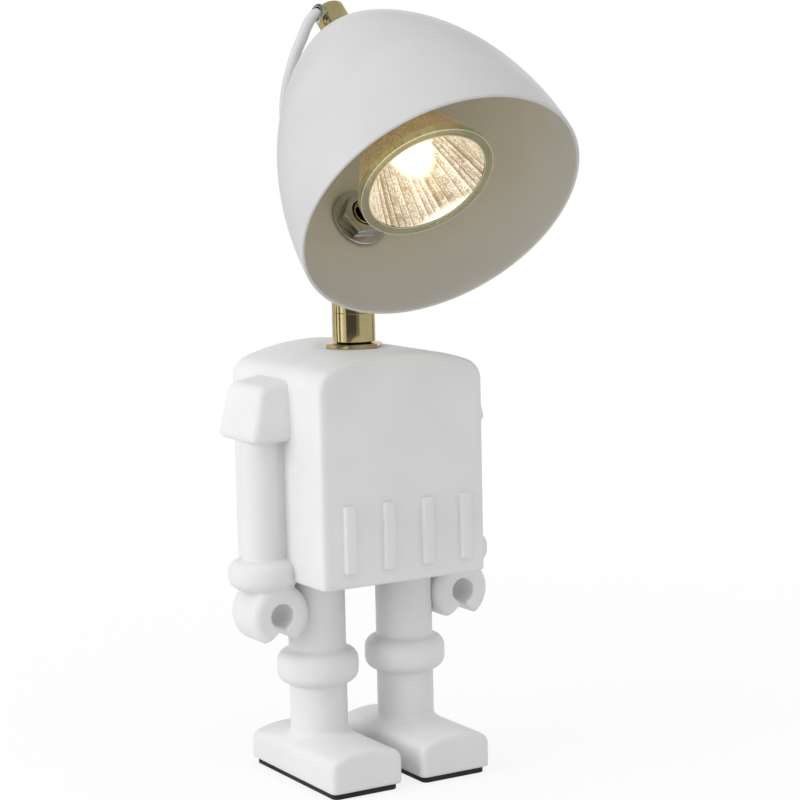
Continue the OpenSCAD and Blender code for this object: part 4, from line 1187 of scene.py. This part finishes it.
@dataclass
class Neck:
    """The brass post: lock nut, collar and fork, with the pivot's hardware."""

    radius: float = 7.85
    collar: tuple[float, float] = (158.0, 168.5)  # low, high
    bore: float = 5.6
    nut_low: tuple[float, float] = (156.9, 155.7)  # as packed, as seen
    nut_thin: float = 0.65
    nut_turn: float = -11.0
    nut_soft: float = 0.25
    thread: tuple[float, float, float] = (6.3, 156.6, 158.4)  # radius, low, high
    rounding: tuple[float, float] = (0.25, 0.1)  # collar, thread

    def build(self) -> None:
        """Turn the collar, and take the rest from the frame with its edges broken."""
        collar = round_rim(self.radius, *self.collar, self.rounding[0], self.bore)
        Blank().lathe(collar, 128).piece("neck_collar", Body.FIGURE, BRASS, ("swivel_collar",))
        # The thread ring between the nut and the collar is near black: painted shade in the gap under the
        # collar.
        thread = round_rim(*self.thread, self.rounding[1], self.bore)
        Blank().lathe(thread, 96).piece("neck_thread", Body.FIGURE, BRASS_PAINTED_SHADE, ("swivel_collar",))
        packed_low, low = self.nut_low
        seat = Matrix.Translation((0, 0, low)) @ Matrix.Diagonal((1, 1, self.nut_thin, 1))
        seat @= Matrix.Rotation(math.radians(self.nut_turn), 4, "Z") @ Matrix.Translation((0, 0, -packed_low))
        nut = Blank().copy_node("neck_lock_nut", self.nut_soft)
        nut.piece("lock_nut", Body.FIGURE, BRASS_NUT, ("neck_lock_nut",), seat)
        for node, name, finish, soft in (
            ("knuckle_fork", "fork", BRASS, 0.2),
            ("knuckle_screw", "pivot_screw", BRASS, 0.2),
            ("knuckle_nut", "pivot_nut", BRASS, 0.15),
            ("cord_bush", "bush", NICKEL, 0.1),
        ):
            Blank.dress(node, name, Body.SWIVEL, finish, soft)


@dataclass
class Shade:
    """The spun metal dome, its cap and gland, and the stub's washer and nut inside it."""

    radius: float = 51.1
    depth: float = 91.7
    power: float = 2.0
    root: float = 1.47
    flat: float = 89.0
    wall: float = 1.2
    dome_steps: tuple[int, int] = (44, 160)  # along, round
    pivot: tuple[float, float, float] = (0.0, 2.4, 198.0)
    own_pivot: tuple[float, float, float] = (0.0, 50.673, 41.673)
    stub_lean: float = 19.225
    cap: tuple[float, float] = (5.9, 13.0)  # radius, height
    cap_bore: float = 4.0
    cap_roof: float = 1.6
    cap_round: tuple[float, float] = (0.15, 0.7)  # foot, top
    gland: tuple[float, float, float, float] = (3.4, 2.2, 4.3, 7.6)  # radius, bore, low, high
    gland_round: tuple[float, float, float] = (0.4, 0.35, 0.2)  # shelf, lip, mouth
    gland_shelf: float = 1.2
    gland_groove: tuple[float, float] = (0.75, 0.55)  # inwards, down
    gland_s: float = 99.0
    gland_turn: float = 18.0
    washer: tuple[float, float, float] = (10.5, 9.175, 10.375)  # radius, low, high
    washer_bore: float = 5.0
    washer_round: float = 0.5
    tongue_soft: float = 0.15
    stub: tuple[float, float, float] = (4.95, 4.0, 14.6)  # radius, bore, end
    cup: tuple[float, float, float] = (6.0, 0.2, 0.1)  # depth, lip, skin
    threads: tuple[tuple[float, float], ...] = ((4.3, 0.0), (3.75, 1.2), (3.75, 2.6))  # radius, drop
    thread_r: float = 0.24
    crease: float = 35.0
    place: Matrix = field(init=False)

    def __post_init__(self) -> None:
        """Work out where the shade's own frame, mouth down and axis along Z, lies in the lamp."""
        self.place = (Matrix.Translation(self.pivot) @ Matrix.Rotation(math.radians(SHADE_LEAN), 4, "X")
                      @ Matrix.Translation(-Vector(self.own_pivot)))

    def outside(self, s: float) -> float:
        """Give the dome's outside radius at a distance from its mouth."""
        return self.radius * (1 - (s / self.depth) ** self.power) ** (1 / self.root)

    def dome(self) -> None:
        """Spin the dome with its wall and rounded rim."""
        steps, turns = self.dome_steps
        heights = [self.flat * math.sin(math.pi / 2 * i / steps) for i in range(steps + 1)]
        outer = [(self.outside(s), s) for s in heights]
        inner = []
        for i, s in enumerate(heights):
            a, b = outer[max(i - 1, 0)], outer[min(i + 1, steps)]
            along = Vector((b[0] - a[0], b[1] - a[1])).normalized()
            inner.append((outer[i][0] - along.y * self.wall, s + along.x * self.wall))
        inner = [p for p in inner if p[0] > 0.5 and 0.6 < p[1] < self.flat - self.wall]
        half = self.wall / 2
        rim = arc((self.radius - half, half), half, 180, 360, 8)
        outline = rim + [p for p in outer if p[1] > half] + [(0, self.flat), (0, self.flat - self.wall)]
        outline += [(inner[-1][0] * 0.5, self.flat - self.wall)] + inner[::-1]
        blank = Blank().lathe(outline, turns)
        # Faces on the inside of the wall take the second material, whose darker, warmer colour paints the
        # shade inside the dome and the bulb's warm light on it, besides a slightly warmer inner paint.
        for face in blank.bm.faces:
            middle = face.calc_center_median()
            if middle.xy.length < self.outside(middle.z) - half:
                face.material_index = 1
        made = blank.piece("shade_dome", Body.SHADE, SHADE_PAINT, ("shade_shell",), self.place, self.crease)
        made.data.materials.append(WARM_LINING_AND_PAINTED_SHADE.material())

    def top(self) -> None:
        """Turn the cap and its gland."""
        radius, height = self.cap
        bore, (foot, edge) = self.cap_bore, self.cap_round
        low, high = self.flat, self.flat + height
        outline = [(bore, low), (radius - foot, low), (radius, low + foot)]
        outline += arc((radius - edge, high - edge), edge, 0, 90, 8)
        outline += [(0, high), (0, high - self.cap_roof), (bore, high - self.cap_roof)]
        Blank().lathe(outline, 96).piece("cap", Body.SHADE, BRASS_SHADE, ("shade_cap",), self.place)
        out, bore, low, high = self.gland
        shelf, lip, mouth = self.gland_round
        groove_in, groove_low = self.gland_groove
        place = self.place @ Matrix.Translation((0, 0, self.gland_s))
        place @= Matrix.Rotation(math.radians(self.gland_turn), 4, "Z")
        place @= Matrix.Rotation(-math.pi / 2, 4, "Y")
        rings = [(bore, low), (out - shelf, low)]
        rings += arc((out - shelf, high - self.gland_shelf), shelf, -90, 0, 5)
        rings += arc((out - lip, high - lip), lip, 0, 130, 7) + [(out - groove_in, high - groove_low)]
        rings += arc((bore + mouth, high - mouth), mouth, 0, 180, 6)
        Blank().lathe(rings, 64).piece("gland", Body.SHADE, NICKEL, ("cap_gland",), place)

    def fixing(self) -> None:
        """Make the flange washer, the nut and the threaded stub that hold the shade."""
        place = (self.place @ Matrix.Translation(self.own_pivot)
                 @ Matrix.Rotation(math.radians(90 + self.stub_lean), 4, "X"))
        washer = round_rim(*self.washer, self.washer_round, self.washer_bore)
        Blank().lathe(washer, 96).piece("stub_washer", Body.SHADE, NICKEL, ("flange_washer",), place)
        Blank.dress("shade_nut", "stub_nut", Body.SHADE, NICKEL, 0.35)
        tongue = Blank().copy_node("knuckle_tongue", self.tongue_soft)
        outer, bore, top = self.stub
        whole = tongue.bm.verts[:] + tongue.bm.edges[:] + tongue.bm.faces[:]
        bmesh.ops.bisect_plane(tongue.bm, geom=whole, plane_co=place @ Vector((0, 0, top)),
                               plane_no=place.to_3x3() @ Vector((0, 0, 1)), clear_outer=True)
        tongue.piece("tongue", Body.SHADE, BRASS, ("knuckle_tongue",))
        # The cup lines the stub's bore and its lip rings the tube's end in near-black brass: painted shade in
        # the hollow tube.
        deep, lip, skin = self.cup
        cup = [(0, top - deep), (bore, top - deep), (bore, top - lip), (outer, top - lip), (outer, top)]
        cup += [(bore - skin, top), (bore - skin, top - deep + skin), (0, top - deep + skin)]
        Blank().lathe(cup, 64).piece("stub_bore_painted_shade", Body.SHADE, BRASS_PAINTED_SHADE, ("knuckle_tongue",), place)
        ends = Blank()
        for radius, drop in self.threads:
            ends.lathe(arc((radius, top - drop), self.thread_r, 0, 315, 7), 64)
        ends.piece("stub_threads", Body.SHADE, BRASS, ("knuckle_tongue",), place)

    def build(self) -> None:
        """Build the shade and what is fixed to it."""
        self.dome()
        self.top()
        self.fixing()
        for node, name, finish, soft in (
            ("holder_bracket", "bracket_strap", NICKEL, 0.15),
            ("holder_screws", "bracket_screws", NICKEL, 0.1),
            ("lampholder", "holder_body", PORCELAIN, 0.2),
        ):
            Blank.dress(node, name, Body.SHADE, finish, soft)


@dataclass
class Bulb:
    """The lit reflector bulb: rim, front glass, mirrored bowl, capsule and base."""

    place: Matrix
    radius: float = 24.6
    face: float = 12.7
    lip: float = 0.25
    rim: float = 3.3
    rim_round: float = 0.4
    flange: float = 21.4
    bead: float = 0.36
    depth: float = 29.0
    bowl: tuple[float, float] = (24.0, 10.5)  # radius in front, radius at the back
    bowl_wall: float = 1.0
    bowl_rows: int = 24
    mirror: tuple[float, float, float, float] = (21.3, 1.0, 9.2, 28.5)  # radius, depth in front; at the back
    mirror_wall: float = 0.2
    facets: int = 44
    rows: int = 9
    capsule: tuple[float, float] = (4.2, 20.0)  # radius, length
    lens: tuple[float, float] = (0.35, 0.95)  # front, back
    lens_play: float = 0.05
    lens_round: float = 0.2

    def bowl_radius(self, s: float) -> float:
        """Give the bowl's outside radius at a distance behind the face."""
        share = (s - self.rim) / (self.depth - self.rim)
        return math.sqrt(self.bowl[0] ** 2 + share * (self.bowl[1] ** 2 - self.bowl[0] ** 2))

    def mirror_radius(self, s: float) -> float:
        """Give the mirror's radius at a distance behind the face."""
        wide, front, narrow, back = self.mirror
        return math.sqrt(wide ** 2 + (s - front) / (back - front) * (narrow ** 2 - wide ** 2))

    def glass(self, place: Matrix, frame_of: dict[str, object]) -> None:
        """Turn the rim with its two beads, the back of the bowl and the front glass.

        Args:
            place: Where the bulb's frame lies in the lamp.
            frame_of: The bulb's frame for its finishes.
        """
        rim = BulbGlassFinish(
            "bulb_rim_glass", "reflector_glass", (0.34, 0.35, 0.23), (0.46, 0.46, 0.31), (0.04, 0.1), 1500,
            0.00004, clear=0.7, leak=(0.13, 0.095, 0.035), near=(1.6, 2.0), **frame_of)
        # The beads' paler glass and steady glow are a painted highlight along the rim's two edges.
        edge = BulbGlassFinish(
            "bulb_rim_edge_painted_highlight", "reflector_glass", (0.66, 0.62, 0.46), (0.72, 0.68, 0.5), (0.06, 0.12), 900,
            0.00001, clear=0.3, leak=(0.5, 0.4, 0.22), dim=(0.06, 0.056, 0.04), near=(1.5, 2.0), **frame_of)
        back = BulbGlassFinish(
            "bulb_back_glass", "reflector_glass", (0.30, 0.25, 0.16), (0.42, 0.35, 0.22), (0.08, 0.2), 700,
            0.00012, clear=0.45, leak=(0.2, 0.135, 0.055), dim=(0.04, 0.032, 0.018), near=(0.8, 2.0),
            cells=1700, sparks=(0.35, 3.2), spill=(0.72, 0.62, 0.39), **frame_of)
        low, high, turned = self.lip, self.rim, self.rim_round
        ring = [(self.flange, low)]
        ring += arc((self.radius - turned, low + turned), turned, -90, 0, 5)
        ring += arc((self.radius - turned, high - turned), turned, 0, 90, 5) + [(self.flange, high)]
        Blank().lathe(ring, 128).piece("bulb_rim", Body.BULB, rim, ("bulb_reflector",), place)
        beads = Blank()
        for middle in (self.flange + self.bead / 2, self.radius - self.bead / 2):
            beads.lathe(arc((middle, low), self.bead / 2, 0, 315, 7), 128)
        beads.piece("bulb_rim_beads", Body.BULB, edge, ("bulb_reflector",), place)
        levels = [self.rim + (self.depth - self.rim) * i / self.bowl_rows for i in range(self.bowl_rows + 1)]
        bowl = [(self.bowl_radius(s), s) for s in levels]
        bowl += [(self.bowl_radius(s) - self.bowl_wall, s) for s in levels[::-1]]
        Blank().lathe(bowl, self.facets * 2).piece("bulb_back", Body.BULB, back, ("bulb_reflector",), place)
        lens = round_rim(self.flange - self.lens_play, *self.lens, self.lens_round)
        Blank().lathe(lens, 128).piece("bulb_lens_glass", Body.BULB, BULB_FRONT, ("bulb_lens",), place)

    def build(self) -> None:
        """Build the bulb's glass, mirror, capsule and base."""
        place = self.place @ Matrix.Translation((0, 0, self.face))
        frame_of = {"place": tuple(place.translation * MM), "lean": SHADE_LEAN}
        self.glass(place, frame_of)
        _, front, _, back = self.mirror
        levels = [front + (back - front) * i / self.rows for i in range(self.rows + 1)]
        mirror = [(self.mirror_radius(s), s) for s in levels]
        mirror += [(self.mirror_radius(s) + self.mirror_wall, s) for s in levels[::-1]]
        lit = MirrorFinish(
            "bulb_mirror_lit", "reflector_glass", (0.50, 0.42, 0.295), (0.19, 0.145, 0.085), grain=2500,
            deep=(1.05, 1.0, 0.86), facets=self.facets, row=(back - front) / self.rows, **frame_of)
        Blank().lathe(mirror, self.facets).piece("bulb_mirror", Body.BULB, lit, ("bulb_reflector",), place, 1)
        radius, length = self.capsule
        tip = self.depth - length
        hot = GlassFinish(
            "capsule_lit", "capsule_glow", (1.0, 0.95, 0.85), (1.0, 0.92, 0.8), (0.2, 0.3), 900, 0.000005,
            clear=0.0, glow=(3.0, 2.8, 2.4))
        capsule = [(0.0, tip)] + arc((0.0, tip + radius), radius, -80, 0, 10)
        capsule += [(radius, self.depth), (0, self.depth)]
        Blank().lathe(capsule, 48).piece("capsule", Body.BULB, hot, ("bulb_capsule",), place)
        Blank.dress("bulb_base", "base_ceramic", Body.BULB, PORCELAIN, 0.2)
        Blank.dress("bulb_pins", "base_pins", Body.BULB, NICKEL, 0.2)


class Underside:
    """What shows under and behind the torso, and what stays hidden inside."""

    def build(self) -> None:
        """Dress the hatch, its screws and the grommet, and give the inner nodes their finishes."""
        for node, name, finish, soft in (
            ("hatch_plate", "hatch_cover", HATCH, 0.2),
            ("hatch_screws", "hatch_fixings", NICKEL, 0.12),
            ("mains_grommet", "cord_grommet", RUBBER, 0.15),
        ):
            Blank.dress(node, name, Body.FIGURE, finish, soft)
        for finish, nodes in (
            (MOULDED, ("terminal_block",)),
            (NICKEL, ("terminal_screws", "neck_inner_washer", "stop_screw", "friction_washers",
                      "nipple_nut")),
            (BRASS, ("neck_tube", "neck_inner_nut", "cap_nipple", "holder_contacts")),
            (SHEATH, ("neck_lead", "holder_leads")),
        ):
            for node in nodes:
                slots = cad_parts[node].material_slots
                for i in range(len(slots)):
                    slots[i].material = finish.material()
                LOG.info("%s keeps its shape and is %s", node, finish.name)


@dataclass
class Stage:
    """The pale floor, the white background, the soft light and the cards that the metal mirrors."""

    sky: float = 0.76
    floor: float = 0.77
    floor_seen: float = 0.95
    floor_size: float = 6.0
    shadow: tuple[float, float] = (0.80, 1.0)  # share of white near the lamp, far from it
    fade: tuple[float, float] = (0.12, 0.5)  # where near ends and far begins, in metres
    aim: tuple[float, float, float] = (0.0, 0.0, 0.13)
    lamps: tuple[tuple[str, tuple[float, float, float], float, float], ...] = (
        ("key_left", (-1.2, 0.06, 0.56), 0.9, 6.8), ("fill_top", (0.0, -0.5, 1.4), 1.2, 3.0),
    )
    view: float = -119.6
    card_away: float = 0.75
    card_high: float = 1.3
    card_wide: float = 30.0
    cards: tuple[tuple[str, float, float, float], ...] = (
        ("dark_room", -42.0, 14.0, 0.06), ("room_edge", 14.0, 30.0, 0.18), ("far_wall", 30.0, 118.0, 0.48),
        ("far_flag", 118.0, 128.0, 0.12), ("far_end", 128.0, 150.0, 0.5), ("thin_flag", -86.0, -75.0, 0.05),
        ("room_front", -60.0, -42.0, 0.6), ("flag", -108.0, -97.0, 0.05), ("back_wall", -165.0, -112.0, 0.5),
    )

    def seen(self, graph: Graph) -> bpy.types.NodeSocket:
        """Tell rays that show a surface from those that only light another.

        Args:
            graph: Nodes of the surface.

        Returns:
            1 for a ray that shows it, and else 0.
        """
        path = graph.add("LightPath")
        seen = graph.math("MAXIMUM", path.outputs["Is Camera Ray"], path.outputs["Is Glossy Ray"])
        return graph.math("MAXIMUM", seen, path.outputs["Is Transmission Ray"])

    def world(self) -> None:
        """Light the scene softly from all round, and show white behind it."""
        world = bpy.data.worlds.new("soft_room")
        graph = Graph.fresh(world)
        soft = graph.add("Background", {"Color": (1.0, 1.0, 1.0, 1), "Strength": self.sky})
        white = graph.add("Background", {"Color": (1.0, 1.0, 1.0, 1), "Strength": 1.0})
        mix = graph.add("MixShader", {0: self.seen(graph), 1: soft.outputs[0], 2: white.outputs[0]})
        graph.add("OutputWorld", {"Surface": mix.outputs[0]})
        bpy.context.scene.world = world

    def sheet(self, name: str, size: float, shade: bpy.types.Material, place: Matrix) -> bpy.types.Object:
        """Put up a flat sheet of the stage.

        Args:
            name: Name of the sheet.
            size: Half of its width and height.
            shade: Its material.
            place: Where it stands, in metres.

        Returns:
            The sheet.
        """
        blank = bmesh.new()
        bmesh.ops.create_grid(blank, x_segments=1, y_segments=1, size=size)
        bmesh.ops.transform(blank, matrix=place, verts=blank.verts[:], space=Matrix())
        mesh = bpy.data.meshes.new(name)
        blank.to_mesh(mesh)
        blank.free()
        made = show(name, mesh)
        mesh.materials.append(shade)
        return made

    def ground(self) -> None:
        """Lay the floor, which looks white and keeps a soft shadow round the lamp."""
        made = bpy.data.materials.new("pale_floor")
        graph = Graph.fresh(made)
        seen = self.seen(graph)
        where = graph.add("TexCoord").outputs["Object"]
        away = graph.add("VectorMath", {0: where}, operation="LENGTH").outputs["Value"]
        colour = graph.blend(seen, (self.floor,) * 3, (self.floor_seen,) * 3)
        matt = graph.add("BsdfDiffuse", {"Color": colour})
        white = graph.add("Emission", {"Color": (1, 1, 1, 1), "Strength": 1.0})
        share = graph.math("MULTIPLY", seen, graph.spread(away, *self.shadow, *self.fade))
        mix = graph.add("MixShader", {0: share, 1: matt.outputs[0], 2: white.outputs[0]})
        graph.add("OutputMaterial", {"Surface": mix.outputs[0]})
        self.sheet("pale_floor", self.floor_size, made, Matrix())

    def plain(self, name: str, value: float) -> bpy.types.Material:
        """Make a card's material, an even grey of its own light.

        Args:
            name: Name of the material.
            value: How bright it is.

        Returns:
            The material.
        """
        made = bpy.data.materials.new(name)
        graph = Graph.fresh(made)
        tone = graph.add("Emission", {"Color": (value, value, value, 1), "Strength": 1.0})
        graph.add("OutputMaterial", {"Surface": tone.outputs[0]})
        return made

    def unseen(self, card: bpy.types.Object) -> None:
        """Hide a card from all but mirrors.

        Args:
            card: The card.
        """
        card.visible_camera = False
        card.visible_diffuse = False
        card.visible_transmission = False
        card.visible_shadow = False

    def card(self, name: str, start: float, end: float, value: float) -> None:
        """Stand a card round the lamp that only mirrors show.

        Args:
            name: Name of the card.
            start: Turn of its one edge from the camera's side, in degrees to the right.
            end: Turn of its other edge.
            value: How bright it is.
        """
        made = self.plain(name, value)
        steps = max(1, round((end - start) / self.card_wide))
        for i in range(steps):
            low = start + (end - start) * i / steps
            wide = (end - start) / steps
            turn = math.radians(self.view + low + wide / 2)
            half = self.card_away * math.tan(math.radians(wide / 2))
            place = Matrix.Rotation(turn, 4, "Z")
            place @= Matrix.Translation((self.card_away, 0, self.card_high / 2))
            place @= Matrix.Rotation(math.pi / 2, 4, "Y") @ Matrix.Diagonal((self.card_high / 2, half, 1, 1))
            self.unseen(self.sheet(f"{name}_{i + 1}", 1.0, made, place))

    def ceiling(self, high: float = 1.15, size: float = 1.8, value: float = 0.4) -> None:
        """Hang a grey sheet over the lamp that only mirrors show.

        Args:
            high: Height of the sheet, in metres.
            size: Half of its width.
            value: How bright it is.
        """
        sheet = self.sheet("ceiling", size, self.plain("ceiling", value), Matrix.Translation((0, 0, high)))
        self.unseen(sheet)

    def lamp(self, name: str, place: Sequence[float], size: float, power: float) -> None:
        """Hang a soft lamp that points at the figure.

        Args:
            name: Name of the lamp.
            place: Where it hangs, in metres.
            size: Width of its square face.
            power: Power in watts.
        """
        data = bpy.data.lights.new(name, "AREA")
        data.shape = "SQUARE"
        data.size = size
        data.energy = power
        lamp = show(name, data)
        lamp.visible_glossy = False
        way = Vector(self.aim) - Vector(place)
        lamp.matrix_world = Matrix.Translation(place) @ way.to_track_quat("-Z", "Y").to_matrix().to_4x4()

    def build(self) -> None:
        """Build the floor, background, light and cards."""
        self.world()
        self.ground()
        for lamp in self.lamps:
            self.lamp(*lamp)
        for card in self.cards:
            self.card(*card)
        self.ceiling()
        bpy.context.scene.view_settings.view_transform = "Standard"
        LOG.info("stage is set")


def main() -> None:
    """Build the lamp on its frame."""
    logging.basicConfig(level=logging.INFO, format="%(name)s %(message)s")
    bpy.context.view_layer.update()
    Camera().build()
    JumperCord().build()
    Torso().build()
    for side in Side:
        Leg(side).build()
        Arm(side).build()
    Neck().build()
    shade = Shade()
    shade.build()
    Bulb(shade.place).build()
    Underside().build()
    Stage().build()


if __name__ == "__main__":
    main()
